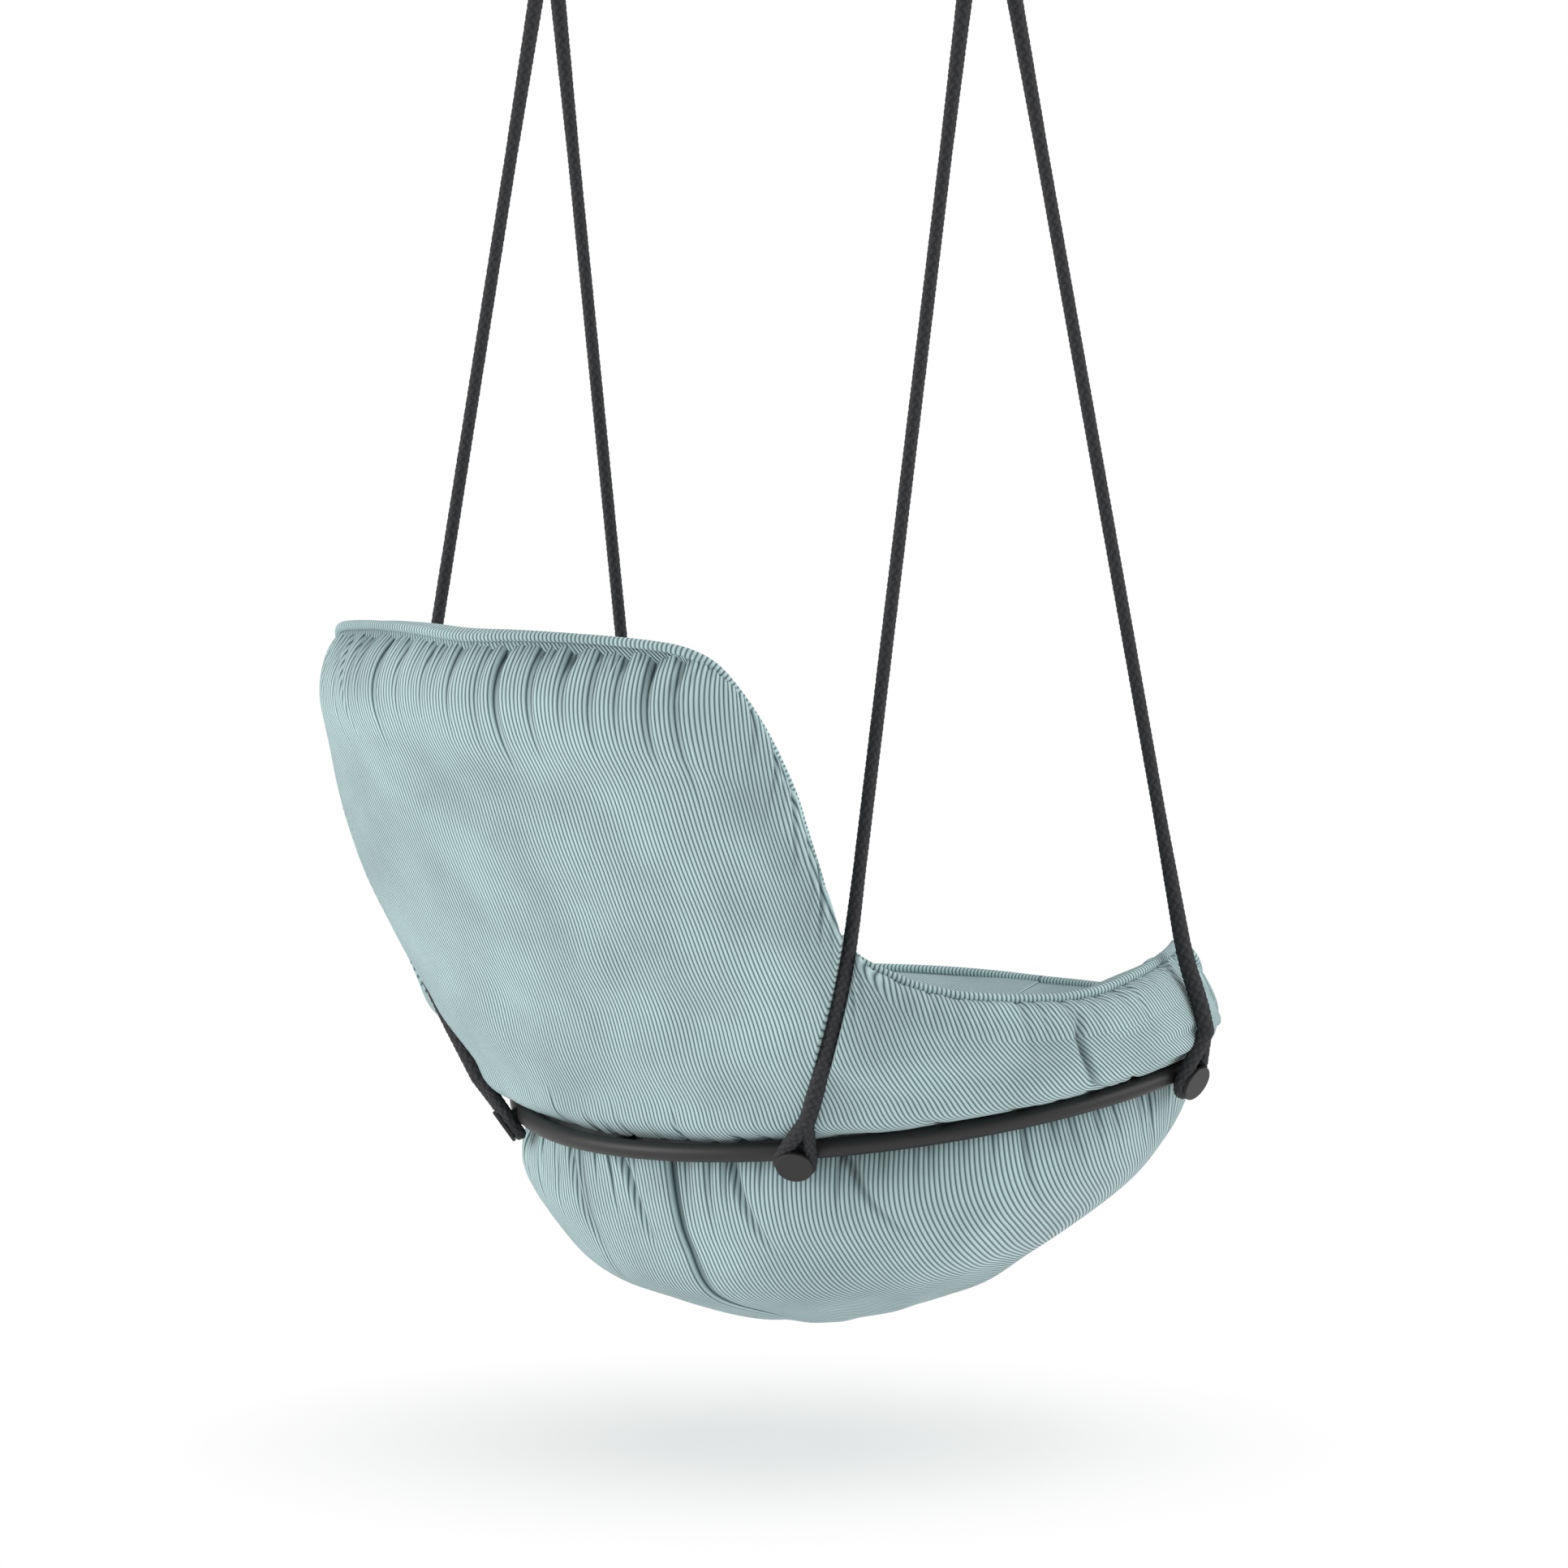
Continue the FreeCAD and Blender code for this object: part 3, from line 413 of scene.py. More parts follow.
def meshed(name, points, faces, material, **values):
    """An object of smooth faces, with each named set of values stored on its points."""
    mesh = bpy.data.meshes.new(name)
    mesh.from_pydata(points.tolist(), [], faces)
    mesh.polygons.foreach_set("use_smooth", np.ones(len(mesh.polygons), bool))
    for key, value in values.items():
        mesh.attributes.new(key, "FLOAT", "POINT").data.foreach_set("value", value.astype(np.float32))
    mesh.materials.append(material)
    mesh.update()
    piece = bpy.data.objects.new(name, mesh)
    bpy.context.scene.collection.objects.link(piece)
    return piece


def skin(name, p, wale, loop_rows, material, pole=None, ring=True, fold_shade=None):
    """A mesh of quads from a grid: its columns close in a ring or not, its rows close or end in a pole."""
    columns, rows = p.shape[:2]
    index = np.arange(columns * rows).reshape(columns, rows)
    beside = np.roll(index, -1, 0)
    faces = np.stack([index, np.roll(index, -1, 1), np.roll(beside, -1, 1), beside], -1)
    faces = faces[:columns if ring else -1, :rows if loop_rows else -1].reshape(-1, 4).tolist()
    points = p.reshape(-1, 3)
    values = {"wale": wale.reshape(-1)}
    # these per-point values paint shade into the cloth's colour in the pleats' valleys
    if fold_shade is not None:
        values["fold_shade"] = fold_shade.reshape(-1)
    if pole is not None:
        faces += [(int(index[i, -1]), columns * rows, int(beside[i, -1])) for i in range(columns)]
        points = np.vstack([points, pole])
        values = {key: np.append(value, 0.0) for key, value in values.items()}
    return meshed(name, points, faces, material, **values)


def attribute(tree, name):
    """A value stored on the mesh."""
    made = tree.nodes.new("ShaderNodeAttribute")
    made.attribute_name = name
    return made.outputs["Fac"]


def ramp(tree, value, dark, light, full=1.0):
    """A colour from dark at 0 to light at the full value."""
    made = tree.nodes.new("ShaderNodeValToRGB")
    first, last = made.color_ramp.elements
    first.color = (*dark, 1.0)
    last.position = full
    last.color = (*light, 1.0)
    tree.links.new(value, made.inputs["Fac"])
    return made.outputs["Color"]


def corduroy(name):
    """Wide-wale cotton corduroy: rounded ribs along the wale attribute, dark lines between them that are
    partly the cloth's darker base and partly painted shade in the grooves, painted shade in the pleats'
    valleys, a soft nap.
    """
    material, tree, surface = shader(name, (0.45, 0.62, 0.6), 0.9)
    surface.inputs["Sheen Weight"].default_value = 0.25
    surface.inputs["Sheen Roughness"].default_value = 0.4
    surface.inputs["Specular IOR Level"].default_value = 0.15

    def maths(operation, *values):
        """A Math node's result; its values are numbers or other nodes' outputs."""
        made = tree.nodes.new("ShaderNodeMath")
        made.operation = operation
        for socket, value in zip(made.inputs, values):
            if isinstance(value, float):
                socket.default_value = value
            else:
                tree.links.new(value, socket)
        return made.outputs[0]

    turns = maths("MULTIPLY", attribute(tree, "wale"), math.pi / RIB_SPACING)
    rib = maths("POWER", maths("ABSOLUTE", maths("SINE", turns)), 0.90)
    tone = tree.nodes.new("ShaderNodeMapRange")
    tone.inputs["From Min"].default_value = 0.3
    tone.inputs["From Max"].default_value = 0.7
    tone.inputs["To Min"].default_value = 0.86
    tone.inputs["To Max"].default_value = 1.10
    tree.links.new(speckle(tree, 9.0, 4.0), tone.inputs["Value"])
    # painted shade: the colour is darkened by up to 0.55 in the pleats' valleys, more where a valley is
    # deeper
    fold_shade_dimming = maths("MULTIPLY_ADD", attribute(tree, "fold_shade"), -0.55, 1.0)
    shade = tree.nodes.new("ShaderNodeMix")
    shade.data_type = "RGBA"
    shade.blend_type = "MULTIPLY"
    shade.inputs["Factor"].default_value = 1.0
    # partly painted shade: the grooves between the ribs are the cloth's darker base, darkened further as
    # shade in the recesses
    ribs_and_groove_shade = ramp(tree, rib, (0.022, 0.072, 0.076), (0.520, 0.690, 0.695), 0.92)
    tree.links.new(ribs_and_groove_shade, shade.inputs["A"])
    tree.links.new(maths("MULTIPLY", fold_shade_dimming, tone.outputs["Result"]), shade.inputs["B"])
    tree.links.new(shade.outputs["Result"], surface.inputs["Base Color"])
    fuzz = maths("MULTIPLY_ADD", speckle(tree, 420.0, 2.0), 0.12, rib)
    relief(tree, surface, fuzz, 0.0014, 0.9)
    return material


cover = corduroy("aqua_corduroy")
COLUMNS = 1400
share = (np.arange(COLUMNS) + 0.5) / COLUMNS * 2 - 1
side_of = np.sign(share)
rim, rim_length = rim_line(UPPER)
shell_rim, _ = rim_line(SHELL)
rim_share = np.linspace(0, 1, len(rim))
foot_end = half_girth(UPPER[:1])[0]
# stations along half the rim: the middle of the back, its corner, three down the flank, the
# neck, two along the wing, the front corner and the middle of the front
marks = [0, np.argmax(rim[:, 0] > 0.300), *(np.argmax(rim[:, 1] < level) for level in (0.48, 0.33, 0.218)),
         *(np.argmax(rim[:, 0] > run) for run in (0.463, 0.554, 0.655, 0.850)), len(rim) - 1]


def along(*values, rising=False):
    """Values at the rim's stations, read smoothly at every column; level at both middles unless rising."""
    line = np.interp(rim_share, rim_share[marks], values)
    if rising:
        line = eased(line, 60)
    else:
        line = eased(np.concatenate([line[::-1], line, line[::-1]]), 60)[len(line):-len(line)]
    return np.interp(np.abs(share), rim_share, line)


def mates(line, ends, width):
    """The nearest place on half a rim for each column's end, evened and alike on both sides."""
    nearest = [np.argmin(((line - end * (np.sign(end[0]), 1, 1)) ** 2).sum(1)) for end in ends]
    half = eased(np.maximum.accumulate(nearest[len(ends) // 2:]).astype(float), width)
    return np.concatenate([half[::-1], half])


# where each column starts along the crease, so that the columns meet the rim squarely
foot = along(0, 0.13, 0.205, 0.27, 0.335, 0.39, 0.49, 0.62, 0.81, foot_end, rising=True)
top = read_line(np.abs(share), rim_share, eased(rim, 14))
steps = np.concatenate([np.linspace(0, 0.14, 26, endpoint=False), np.linspace(0.14, 1, 110)])
run = foot[:, None] + (top[:, :1] - foot[:, None]) * steps
level = UPPER[0, 0] + (top[:, 1:] - UPPER[0, 0]) * steps
rows = level_rows(UPPER, level)
outer = on_oval(rows, side_of[:, None] * np.minimum(run, half_girth(rows)))
length = travelled(outer)
ledge_run, ledge_level = eased(shell_rim, 14).T
ledge_rows = level_rows(SHELL, ledge_level)
ledge = on_oval(ledge_rows, np.minimum(ledge_run, half_girth(ledge_rows)))
mate = mates(ledge, outer[:, -1], 12)
edge = read_line(mate, np.arange(len(ledge)), ledge)
edge[:, 0] *= side_of
# the piping stands further back and higher along the back's top, and clear of the ropes at the neck
ROPE_CLEAR = 0.026
edge[:, 0] += side_of * along(0, 0.004, 0.014, 0.012, 0.006, 0, 0, 0, 0, 0)
edge[:, 1] += along(0.063, 0.028, 0.003, 0, 0, 0, 0, 0, -0.014, 0)
edge[:, 2] += along(0.015, 0.035, 0.011, 0, 0, 0, 0, -0.003, 0.007, -0.003)
clear = np.linalg.norm(edge[:, None] - unplaced(np.vstack(PRESS))[None], axis=-1).min(1)
edge[:, 0] -= side_of * eased(np.clip(ROPE_CLEAR - clear, 0, None), 30) * 1.3
# ahead of the hoop's ends the crease closes to a seam
FRONT_SEAM, FRONT_FADE = 0.68, 0.10
ahead = smoothstep((foot - FRONT_SEAM) / FRONT_FADE)
# the cloth stands full below the piping and rounds over to it
SWELL = 0.62
back_off = along(0.130, 0.115, 0.080, 0.05, 0.036, 0.040, 0.042, 0.042, 0.040, 0.03)
back_off = np.minimum(back_off, 0.5 * length[:, -1])
row_number = np.broadcast_to(np.arange(len(steps)), length.shape)
start = read_along(length[:, -1] - back_off, length, row_number)
position = np.linspace(0, 1, len(steps)) * start[:, None]
body, body_run, body_level = (read_along(position, row_number, grid) for grid in (outer, run, level))
upward = unit(body[:, -1] - body[:, -4])
outward = unit((outer[:, -1] - edge) * (1, 1, 0.25))
swell = body[:, -1] + SWELL * back_off[:, None] * upward
over = edge + outward * along(0.022, 0.022, 0.022, 0.018, 0.014, 0.022, 0.024, 0.028, 0.028, 0.016)[:, None]
turn = np.linspace(0, 1, 31)[None, 1:, None]
roll = bezier(body[:, -1:], swell[:, None], over[:, None], edge[:, None], turn)
outside = np.concatenate([body, roll], 1)
# the ribs go straight on over the rounding
facing = normals_of(body, True)[:, -2]
sideways = unit(side_of[:, None] * np.stack([facing[:, 1], -facing[:, 0], np.zeros(COLUMNS)], -1))
roll_run = body_run[:, -1:] + ((roll - body[:, -1:]) * sideways[:, None]).sum(-1)
roll_level = body_level[:, -1:] + roll[..., 2] - body[:, -1:, 2]
outside_run = side_of[:, None] * np.concatenate([body_run, roll_run], 1)
outside_level = np.concatenate([body_level, roll_level], 1)
wale = wale_of(outside_run, outside_level)
# round the front corners and along the lip the ribs stand square to the rim
MATCH_ROW = 90
middle = COLUMNS // 2
edge_gone = travelled(edge)
edge_gone = edge_gone - edge_gone[middle]
turned = smoothstep((-0.03 - edge[:, 1]) / 0.09)
meeting = middle + np.argmin(np.abs(turned[middle:] - 0.5))
lip_wale = edge_gone + side_of * (wale[meeting, MATCH_ROW] - edge_gone[meeting])
wale = wale + turned[:, None] * (lip_wale[:, None] - wale)


def tuck(off, away, width, depth, reach):
    """One pleat along off = 0, deepest at the seam."""
    return -depth * np.exp(-(off / width) ** 2) * np.clip(1 - away / reach, 0, 1) ** 0.8


# gathers under the piping and above the crease, with the larger ones where the photograph has
# them: on the back's top by run, down the flanks by height, and above the crease by run
TOP_TUCKS = ((0.143, 0.008, 0.15), (0.20, 0.005, 0.11), (0.05, 0.004, 0.10), (-0.066, 0.010, 0.16),
             (-0.114, 0.007, 0.15), (-0.157, 0.006, 0.12), (-0.192, 0.005, 0.14), (-0.224, 0.007, 0.11),
             (-0.258, 0.010, 0.14), (-0.291, 0.006, 0.17))
FLANK_TUCKS = ((0.46, 0.004, 0.07), (0.43, 0.006, 0.10), (0.393, 0.005, 0.08), (0.356, 0.008, 0.11),
               (0.330, 0.005, 0.08), (0.280, 0.010, 0.13), (0.262, 0.006, 0.09))
CREASE_TUCKS = ((-0.473, 0.010), (-0.388, 0.008), (-0.56, 0.008), (-0.62, 0.006))
# the second value is the pleat depth at which the painted shade in a valley is darkest
UNEVEN, FULL_FOLD_SHADE = 0.0028, 0.0095
rng = np.random.default_rng(11)
length = travelled(outside)
from_rim = length[:, -1:] - length
along_rim = share[:, None] * rim_length * np.ones_like(length)
along_foot = (side_of * foot)[:, None] * np.ones_like(length)
tight = along(1.0, 1.0, 0.7, 0.5, 0.35, 0.40, 0.45, 0.5, 0.4, 0.3)[:, None]
gather = tight * (pleats(rng, along_rim, from_rim, 1.7, 0.0085, 0.0062, 0.075, 0.0030)
                  + pleats(rng, along_rim, from_rim, 1.7, 0.026, 0.0078, 0.17, 0.0046))
gather += pleats(rng, along_foot, length, 1.2, 0.026, 0.0060, 0.08, 0.0042)
for place, depth, reach in TOP_TUCKS:
    gather += tuck(outside_run - place, from_rim, 0.0050, depth, reach)
for height, depth, reach in FLANK_TUCKS:
    place = rim_share[np.argmax(rim[:, 1] < height)] * rim_length
    gather += tuck(np.abs(along_rim) - place - 0.15 * from_rim, from_rim, 0.0060, depth, reach)
# one short pleat stands alone on the near wing
gather += tuck(outside_run + 0.578 + 0.18 * outside_level, np.abs(outside_level - 0.07), 0.0050, 0.010, 0.06)
for place, depth in CREASE_TUCKS:
    gather += tuck(outside_run - place, length, 0.0060, depth, 0.07)
gather *= np.clip(length[:, -1:] / 0.1, 0, 1)
# close to the piping they stay shallow, which keeps the outline even
gather = np.maximum(gather, -0.0014 - 0.40 * from_rim)
waves = UNEVEN * smooth_noise(rng, outside.shape[:2], (34, 10)) * np.clip(from_rim / 0.03, 0, 1)
steady = normals_of(outside, True)
outside = outside + steady * (gather + waves)[..., None]
# painted shade: each point's colour darkens with the depth of its pleat's valley
fold_shade = np.clip(-gather / FULL_FOLD_SHADE, 0, 1)
outside[..., 2] -= ahead[:, None] * (0.010 * np.clip(from_rim / np.maximum(length[:, -1:], 1e-6), 0, 1))
# over the rounding the ropes press the way they press the cloth below it
last_row = body.shape[1] - 6
steady[:, last_row:] = steady[:, last_row][:, None]
outside = unplaced(pressed(placed(outside), tilted(steady)))
# behind the cover its inner side lies on the shell
INNER_ROWS = 5
inward = np.linspace(0, 1, INNER_ROWS + 1)[None, 1:]
inner_top = np.interp(mate, np.arange(len(ledge)), shell_rim[:, 0])[:, None]
inner_run = inner_top + inward * (foot[:, None] * 0.968 - inner_top)
inner_rows = level_rows(SHELL, edge[:, 2:] + inward * (0.012 - edge[:, 2:]))
inner = on_oval(inner_rows, side_of[:, None] * np.minimum(inner_run, half_girth(inner_rows)))
outer_back = skin("outer_back_cover", placed(np.concatenate([outside, inner], 1)),
                  np.concatenate([wale, np.repeat(wale[:, :1], INNER_ROWS, 1)], 1), True, cover,
                  fold_shade=np.concatenate([fold_shade, np.zeros((COLUMNS, INNER_ROWS))], 1))
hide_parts("outer_back_pad")
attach(outer_back, "seat")

# Belly pad: the lower half of the seat, the same corduroy over foam, pulled up
# behind the hoop, with a few deep pleats where the cloth is taken in.
BELLY = np.array([
    (-8, 398, 0, 398, 272), (-70, 397, 59, 338, 294), (-130, 347, 81, 305, 261), (-178, 278, 102, 258, 219),
    (-213, 215, 96, 206, 180), (-237, 166, 93, 158, 142), (-252, 120, 94, 112, 102),
    (-260, 70, 92, 64, 60)]) / 1000.0
BELLY_TUCKS = ((-0.067, 0.0, 0.015, 0.30), (0.009, -0.25, 0.011, 0.11), (-0.142, -0.32, 0.009, 0.12),
               (-0.272, -0.5, 0.008, 0.12), (0.113, -0.2, 0.007, 0.12))
# pleat depth at which the belly's painted shade in a valley is darkest
BELLY_FOLD_SHADE = 0.012
t = np.concatenate([np.linspace(0, 2, 60, endpoint=False), np.linspace(2, 7, 76)])
rows = spline(BELLY, t)
run = share[:, None] * half_girth(rows)[None, :]
form = on_oval(np.broadcast_to(rows, run.shape + (5,)), run)
length = travelled(form)
wale = wale_of(run, form[..., 2] + LEAN_LEVEL)
gather = (pleats(rng, wale, length, 1.1, 0.026, 0.0075, 0.12, 0.0042)
          + pleats(rng, wale, length, 1.1, 0.120, 0.0090, 0.24, 0.0060))
for place, drift, depth, reach in BELLY_TUCKS:
    gather += tuck(wale - place - drift * length, length, 0.0058, depth, reach)
steady = -normals_of(form, True)
form = form + steady * (gather + UNEVEN * smooth_noise(rng, form.shape[:2], (28, 7)))[..., None]
# painted shade: the belly's colour darkens with the depth of each pleat's valley
fold_shade = np.clip(-gather / BELLY_FOLD_SHADE, 0, 1)
form = unplaced(pressed(placed(form), tilted(steady)))
front = np.clip((np.abs(share) * half_girth(BELLY[:1])[0] - FRONT_SEAM) / FRONT_FADE, 0, 1)[:, None]
form[..., 2] += 0.006 * front * np.clip(1 - length / 0.05, 0, 1) ** 2
# its top edge is tucked in behind the hoop, and at the front behind the pad above
tucked = front[..., None]
rim_in = form[:, :1] * (np.array([0.965, 0.965, 1.0]) - np.array([0.035, 0.035, 0.0]) * tucked)
rim_in = rim_in + np.array([0.0, 0.0, 0.012]) * tucked
belly = skin("belly_cover", placed(np.concatenate([rim_in, form], 1))[::-1],
             np.concatenate([wale[:, :1], wale], 1)[::-1], False, cover,
             pole=placed(np.array([[0.0, 0.092, -0.2615]])),
             fold_shade=np.concatenate([fold_shade[:, :1], fold_shade], 1)[::-1])
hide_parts("belly_pad")
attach(belly, "seat")

# Rim piping: a cord sewn into a bias strip of the same corduroy, so that its
# ribs cross it; it closes the seam between the outer pads and the cushions.
BEAD = 0.0052
ring = edge[np.linspace(0, COLUMNS, 700, endpoint=False).astype(int)]
for _ in range(6):
    ring = (np.roll(ring, 1, 0) + 2 * ring + np.roll(ring, -1, 0)) / 4
ring = placed(ring) + np.array([0.0, 0.0, 0.002])


def tube(name, path, radius, sides, closed, material, **values):
    """A mesh tube along points, its frame carried without twist; wale is the distance along it."""
    tangent = unit(np.roll(path, -1, 0) - np.roll(path, 1, 0) if closed else np.gradient(path, axis=0))
    side = np.cross(tangent[0], (0.0, 0.0, 1.0))
    frames = []
    for direction in tangent:
        side = unit(side - direction * side.dot(direction))
        frames.append((side, np.cross(direction, side)))
    frames = np.array(frames)
    turn = np.linspace(0, 2 * math.pi, sides, endpoint=False)[None, :, None]
    around = np.cos(turn) * frames[:, None, 0] + np.sin(turn) * frames[:, None, 1]
    p = path[:, None] + np.broadcast_to(radius, (len(path), sides))[..., None] * around
    index = np.arange(len(path) * sides).reshape(len(path), sides)
    here, there = (index, np.roll(index, -1, 0)) if closed else (index[:-1], index[1:])
    faces = np.stack([here, np.roll(here, -1, 1), np.roll(there, -1, 1), there], -1).reshape(-1, 4).tolist()
    if not closed:
        faces += [index[0, ::-1].tolist(), index[-1].tolist()]
    return meshed(name, p.reshape(-1, 3), faces, material, wale=np.repeat(travelled(path), sides), **values)


piping = tube("piping_cord", ring, BEAD, 14, True, cover)
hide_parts("rim_piping")
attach(piping, "seat")

# Back cushion and seat cushion: foam cushions in the same corduroy that line
# the bucket, with a crown along the piping, meeting at a sewn seam that runs
# across the seat and comes up to the rim at the front corners.
CAVITY = np.array([
    (-135, 95, 85, 90, 80), (-126, 155, 82, 148, 119), (-105, 212, 76, 200, 149), (-65, 265, 62, 245, 173),
    (-3, 306, 40, 278, 205), (54, 338, 40, 296, 300), (115, 362, 88, 262, 330), (168, 345, 176, 196, 300),
    (218, 318, 249, 138, 300), (270, 292, 312, 90, 300), (325, 276, 339, 80, 300), (385, 266, 355, 80, 300),
    (445, 258, 362, 80, 300), (505, 250, 365, 78, 300), (570, 246, 362, 76, 300),
    (650, 246, 352, 76, 300)]) / 1000.0
WAIST, FLOOR_LEVEL = -0.02, CAVITY[0, 0]
WALL_ROWS, FLOOR_ROWS, PART_ROWS = 70, 45, 110
few = np.arange(0, COLUMNS, 2)
brim, hand, start_share = edge[few], side_of[few], foot[few] / foot_end
inner_rim = eased(rim_line(CAVITY)[0], 20)
brink_rows = level_rows(CAVITY, inner_rim[:, 1])
brink = on_oval(brink_rows, np.minimum(inner_rim[:, 0], half_girth(brink_rows)))
inner_mate = mates(brink, brim, 10)
rim_run, rim_level = read_line(inner_mate, np.arange(len(inner_rim)), inner_rim).T[..., None]
rim_level = rim_level - 0.006 * ahead[few, None]
down = np.linspace(0, 1, WALL_ROWS)
floor_levels = np.linspace(WAIST, FLOOR_LEVEL, FLOOR_ROWS + 1)[1:]
level = np.concatenate([rim_level + (WAIST - rim_level) * down,
                        np.broadcast_to(floor_levels, (len(few), FLOOR_ROWS))], 1)
girth = half_girth(level_rows(CAVITY, level))
waist_run = start_share[:, None] * half_girth(level_rows(CAVITY, np.array([WAIST])))[0]
floor_run = start_share[:, None] * girth[:, WALL_ROWS:]
run = np.concatenate([rim_run + (waist_run - rim_run) * down, floor_run], 1)
wall = on_oval(level_rows(CAVITY, level), hand[:, None] * np.minimum(run, girth))
depth = travelled(wall)
# the crown rises square to the rim line from the piping and settles on the wall
dip = np.minimum(0.045, 0.5 * depth[:, WALL_ROWS - 1])
slope = rim_height(brim[:, 1] + 0.004) - rim_height(brim[:, 1] - 0.004)
rise = unit(np.stack([np.zeros(len(few)), -slope, np.full(len(few), 0.008)], -1))
rise += np.clip((brim[:, 2:] - 0.49) / 0.05, 0, 1) * ((0.0, -0.15, 1.0) - rise)
crown_height = along(0.026, 0.026, 0.018, 0.012, 0.004, 0.0, 0.0, 0.0, 0.0, 0.002)
rise = eased(rise, 16) * crown_height[few, None]
turn = np.linspace(0, 1, 26)[None, :, None]
settle = read_along(dip, depth, wall)
crown = bezier(brim[:, None], (brim + rise)[:, None], (wall[:, 0] + rise)[:, None], settle[:, None], turn)
below = dip[:, None] + np.linspace(0, 1, 150)[1:] * (depth[:, -1:] - dip[:, None])
lining = np.concatenate([crown, read_along(below, depth, wall)], 1)
# over the crown the ribs go on as they come up the wall
settle_run, settle_level = (read_along(dip, depth, grid)[:, None] for grid in (np.minimum(run, girth), level))
settle_rows = level_rows(CAVITY, settle_level)
ends = [on_oval(settle_rows, hand[:, None] * np.minimum(settle_run + by, half_girth(settle_rows)))
        for by in (-0.006, 0.0)]
crown_run = settle_run + ((crown - settle[:, None]) * unit(ends[1] - ends[0])).sum(-1)
lining_run = np.concatenate([crown_run, read_along(below, depth, run)], 1)
# the seam lies in a plane that falls toward the back, and comes up to the piping at the front corners
SEAM_FRONT, SEAM_HEIGHT, SEAM_FALL, SEAM_LEAST = -0.43, 0.051, 0.1919, 0.012
gone = travelled(lining)
above = lining[..., 2] - SEAM_HEIGHT + SEAM_FALL * (lining[..., 1] - SEAM_FRONT)
pick, first = np.arange(len(few)), np.maximum(np.argmax(above < 0, axis=1), 1)
part = np.clip(above[pick, first - 1] / (above[pick, first - 1] - above[pick, first]), 0, 1)
seam = gone[pick, first - 1] + part * (gone[pick, first] - gone[pick, first - 1])
seam = seam * np.interp(eased(brim[:, 1], 8), [-0.175, -0.06], [0.0, 1.0])


def lining_part(first, last, columns):
    """Rows of the lining between two distances from the piping: points, runs and distances."""
    at = first[:, None] + (last - first)[:, None] * np.linspace(0, 1, PART_ROWS)
    points, runs = (read_along(at, gone[columns], grid[columns]) for grid in (lining, lining_run))
    return points, runs, at


def puffed(points, at, seam, wrap):
    """The cushion's edge drawn in at the seam, and its face a little uneven away from it."""
    off = np.abs(at - seam[:, None])
    draw = 0.010 * np.clip(1 - off / 0.030, 0, 1) ** 2
    waves = 0.003 * smooth_noise(rng, points.shape[:2], (22, 7)) * np.clip(off / 0.04, 0, 1)
    return points - normals_of(points, wrap) * (draw + waves)[..., None]


kept = np.where(seam > SEAM_LEAST)[0]
points, runs, reached = lining_part(np.zeros(len(kept)), seam[kept], kept)
points = puffed(points, reached, seam[kept], False)
back_soft = skin("back_cushion_cover", placed(points), hand[kept, None] * runs, False, cover, ring=False)
points, _, reached = lining_part(seam, gone[:, -1], pick)
points = puffed(points, reached, np.where(seam > SEAM_LEAST, seam, -1.0), True)
# the seat's ribs run fore and aft, spaced round an axis above the seat
AXIS_HEIGHT, AXIS_RADIUS = 0.35, 0.485
across = AXIS_RADIUS * np.arctan2(points[..., 0], AXIS_HEIGHT - points[..., 2])
seat_soft = skin("seat_cushion_cover", placed(points), across, False, cover,
                 pole=placed(np.array([[0.0, 0.085, FLOOR_LEVEL - 0.001]])))
for piece, node in ((back_soft, "back_cushion"), (seat_soft, "seat_cushion")):
    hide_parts(node)
    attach(piece, "seat")

# Ropes: four black braided polyester ropes, 13 mm thick, each with a spliced
# eye over a rope bush above and a spliced eye over a peg of the hoop below.
rope_black, tree, surface = shader("braided_rope", (0.012, 0.012, 0.013), 0.7)
# painted shade: the rope's colour darkens into the crevices between its strands and lightens on their crowns,
# following the braid relief
strand_crevice_shade = ramp(tree, attribute(tree, "braid"), (0.0008, 0.0008, 0.0010), (0.024, 0.025, 0.030))
tree.links.new(strand_crevice_shade, surface.inputs["Base Color"])
STRANDS, LAY, SIDES = 6, 0.0125, 32


def braided(name, line, radius):
    """A rope along a line: two sets of strands crossing over and under, as relief and as an attribute that
    its material uses to paint shade between the strands.
    """
    line = spaced(line, 0.0016)
    run = travelled(line)
    turn = STRANDS * np.arange(SIDES)[None, :] / SIDES
    one, two = turn + run[:, None] / LAY, turn - run[:, None] / LAY
    over = (np.floor(one) + np.floor(two)) % 2 == 0
    ridge = np.where(over, np.sin(math.pi * (one % 1)), np.sin(math.pi * (two % 1))) ** 1.6
    thick = np.interp(run, *radius)[:, None] * 0.93 + 0.0011 * ridge
    return tube(name, line, thick, SIDES, False, rope_black, braid=ridge.reshape(-1)), line, run[-1]


for (place, side), (line, upper_half, lower_half) in LINES.items():
    whole, leg = travelled(line)[-1], travelled(lower_half)[-1]
    splice = 0.30 if place == "rear" else 0.24
    thick = ([0, leg, leg + 0.05, leg + 0.25, whole - leg - splice, whole - leg - 0.06, whole - leg, whole],
             [0.0065, 0.0075, 0.0085, 0.0065, 0.0065, 0.0092, 0.0088, 0.0065])
    main, path, length = braided(f"rope_{place}_{side}_run", line, thick)
    even = ([0, 1], [0.0065, 0.0065])
    extra = [braided(f"rope_{place}_{side}_{end}_eye", half_line, even)[0]
             for end, half_line in (("upper", upper_half), ("lower", lower_half))]
    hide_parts(f"rope_{place}_{side}")
    for piece in (main, *extra):
        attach(piece, "seat")

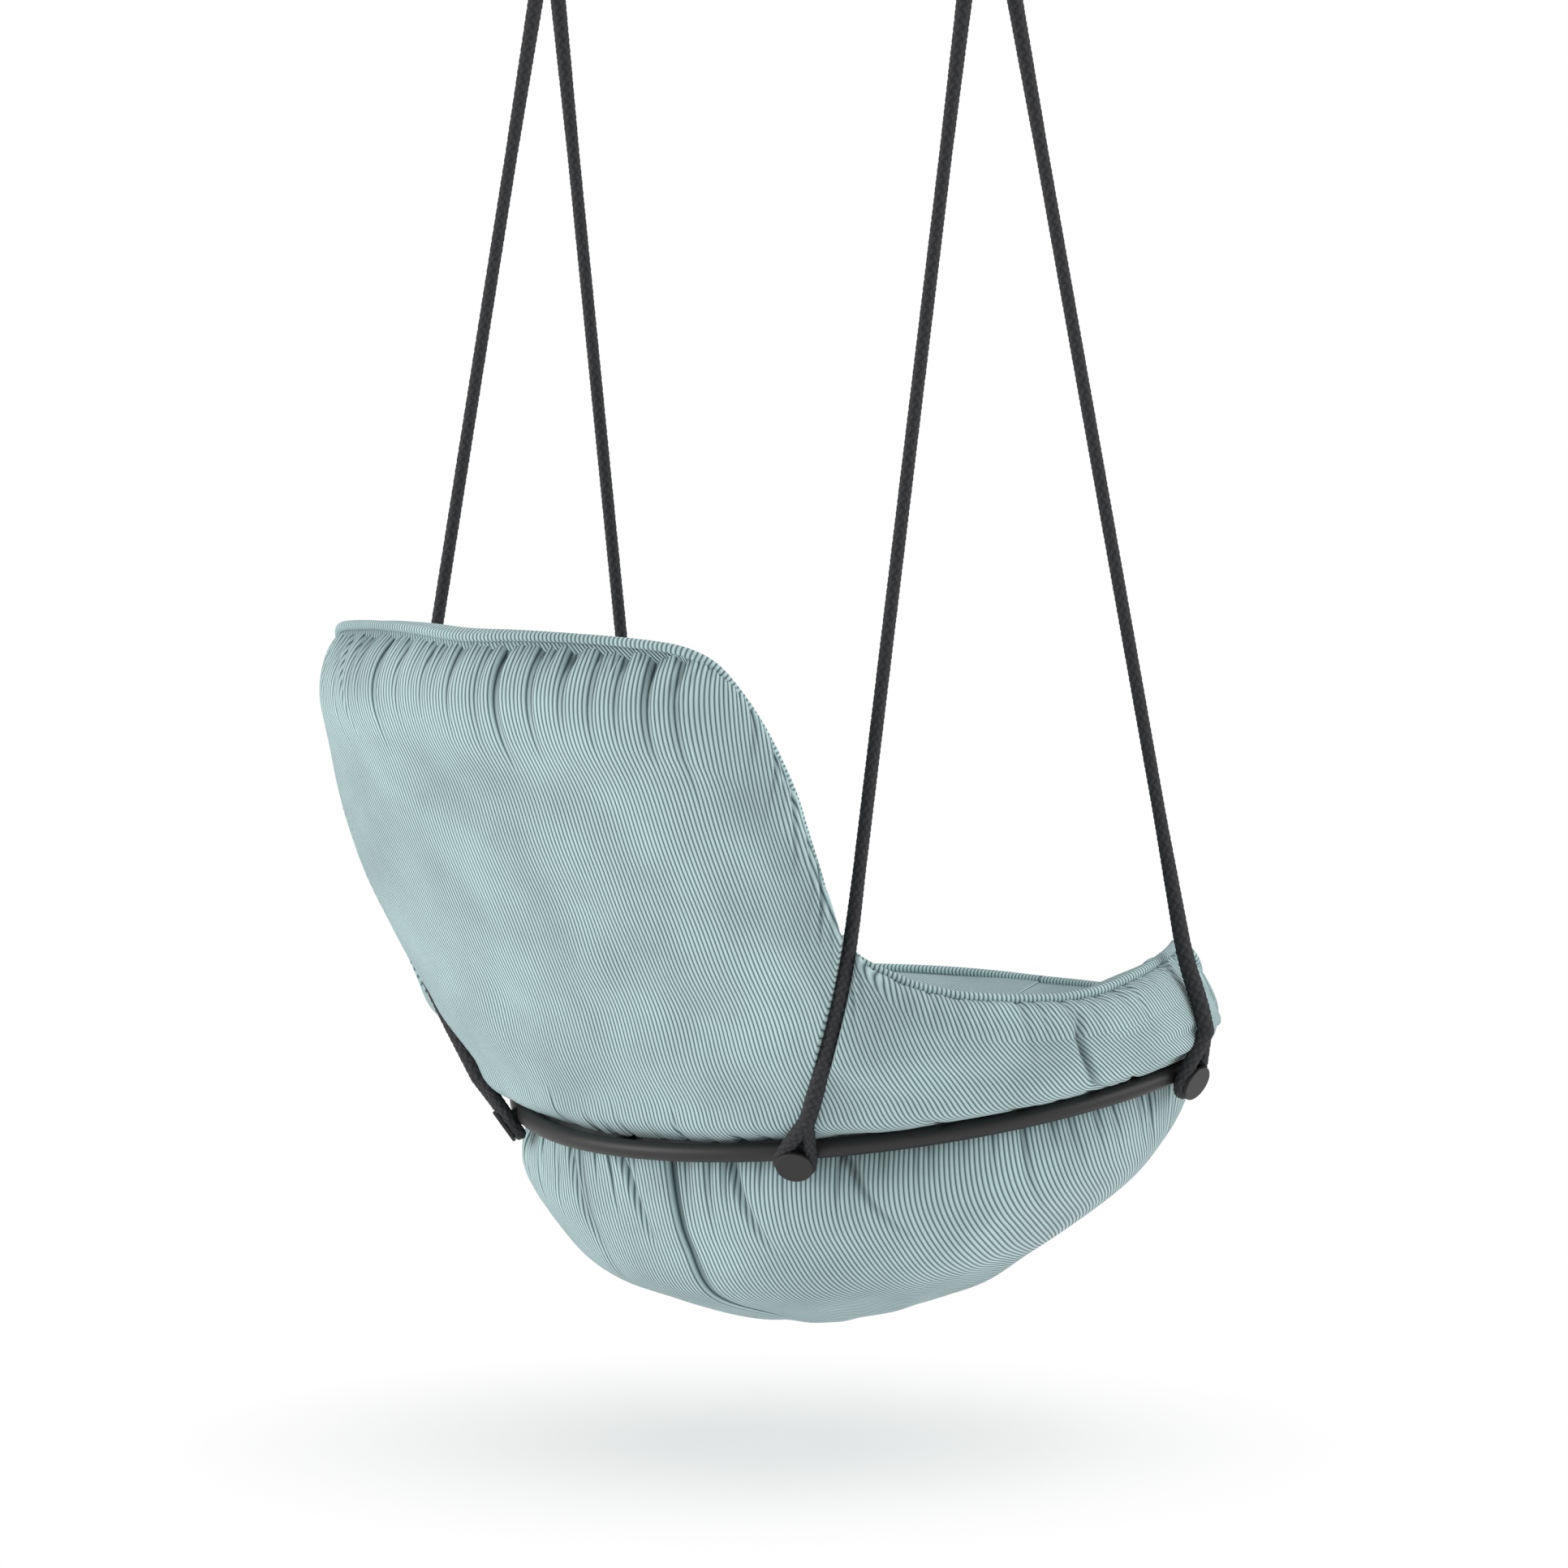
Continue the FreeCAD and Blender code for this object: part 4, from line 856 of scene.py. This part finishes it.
# Studio: a plain pale floor under the seat, soft lights, white behind, and the
# camera at the photograph's viewing angle.
FLOOR = -1.765
bpy.ops.object.select_all(action="DESELECT")
bpy.ops.mesh.primitive_plane_add(size=40, location=(0, 0, FLOOR))
floor = bpy.context.object
floor.name = "floor"
white, tree, surface = shader("pale_floor", (0.9, 0.9, 0.9), 0.9)
surface.inputs["Specular IOR Level"].default_value = 0.0
place = tree.nodes.new("ShaderNodeTexCoord")
far = tree.nodes.new("ShaderNodeVectorMath")
far.operation = "LENGTH"
fade = tree.nodes.new("ShaderNodeMapRange")
fade.inputs["From Min"].default_value = 0.10
fade.inputs["From Max"].default_value = 0.66
fade.inputs["To Min"].default_value = 0.50
glow = tree.nodes.new("ShaderNodeEmission")
glow.inputs["Color"].default_value = (1, 1, 1, 1)
mix = tree.nodes.new("ShaderNodeMixShader")
tree.links.new(place.outputs["Object"], far.inputs[0])
tree.links.new(far.outputs["Value"], fade.inputs["Value"])
tree.links.new(fade.outputs["Result"], mix.inputs["Fac"])
tree.links.new(surface.outputs["BSDF"], mix.inputs[1])
tree.links.new(glow.outputs["Emission"], mix.inputs[2])
tree.links.new(mix.outputs["Shader"], tree.nodes["Material Output"].inputs["Surface"])
floor.data.materials.append(white)

world = bpy.data.worlds.new("studio")
bpy.context.scene.world = world
world.use_nodes = True
tree = world.node_tree
back = tree.nodes["Background"]
back.inputs["Color"].default_value = (1, 1, 1, 1)
back.inputs["Strength"].default_value = 0.50
plain = tree.nodes.new("ShaderNodeBackground")
plain.inputs["Color"].default_value = (1, 1, 1, 1)
plain.inputs["Strength"].default_value = 1.0
rays = tree.nodes.new("ShaderNodeLightPath")
mix = tree.nodes.new("ShaderNodeMixShader")
tree.links.new(rays.outputs["Is Camera Ray"], mix.inputs["Fac"])
tree.links.new(back.outputs["Background"], mix.inputs[1])
tree.links.new(plain.outputs["Background"], mix.inputs[2])
tree.links.new(mix.outputs["Shader"], tree.nodes["World Output"].inputs["Surface"])

LIGHTS = (("key", (2.6, 4.0, -0.2), 2.4, 105.0), ("top", (-0.6, -0.4, 2.6), 2.6, 48.0),
          ("fill", (-3.6, -2.2, 0.0), 2.4, 60.0))
for name, spot, size, power in LIGHTS:
    lamp = bpy.data.lights.new(name, "AREA")
    lamp.size = size
    lamp.energy = power
    holder = bpy.data.objects.new(name, lamp)
    holder.location = spot
    aim = Vector((0.0, 0.0, -1.3)) - Vector(spot)
    holder.rotation_euler = aim.to_track_quat("-Z", "Y").to_euler()
    bpy.context.scene.collection.objects.link(holder)

FOCAL_PIXELS, PHOTO_PIXELS = 9064.18, 1932.0
lens = bpy.data.cameras.new("camera")
lens.sensor_fit = "HORIZONTAL"
lens.sensor_width = 36.0
lens.lens = lens.sensor_width * FOCAL_PIXELS / PHOTO_PIXELS
eye_point = Vector((-5.864284, 5.450588, -0.389739))
azimuth, elevation = math.radians(226.917), math.radians(4.6253)
toward = -Vector((math.sin(azimuth) * math.cos(elevation), -math.cos(azimuth) * math.cos(elevation),
                  math.sin(elevation)))
camera = bpy.data.objects.new("camera", lens)
camera.location = eye_point
camera.rotation_euler = toward.to_track_quat("-Z", "Y").to_euler()
bpy.context.scene.collection.objects.link(camera)
bpy.context.scene.camera = camera
bpy.context.scene.view_settings.view_transform = "Standard"
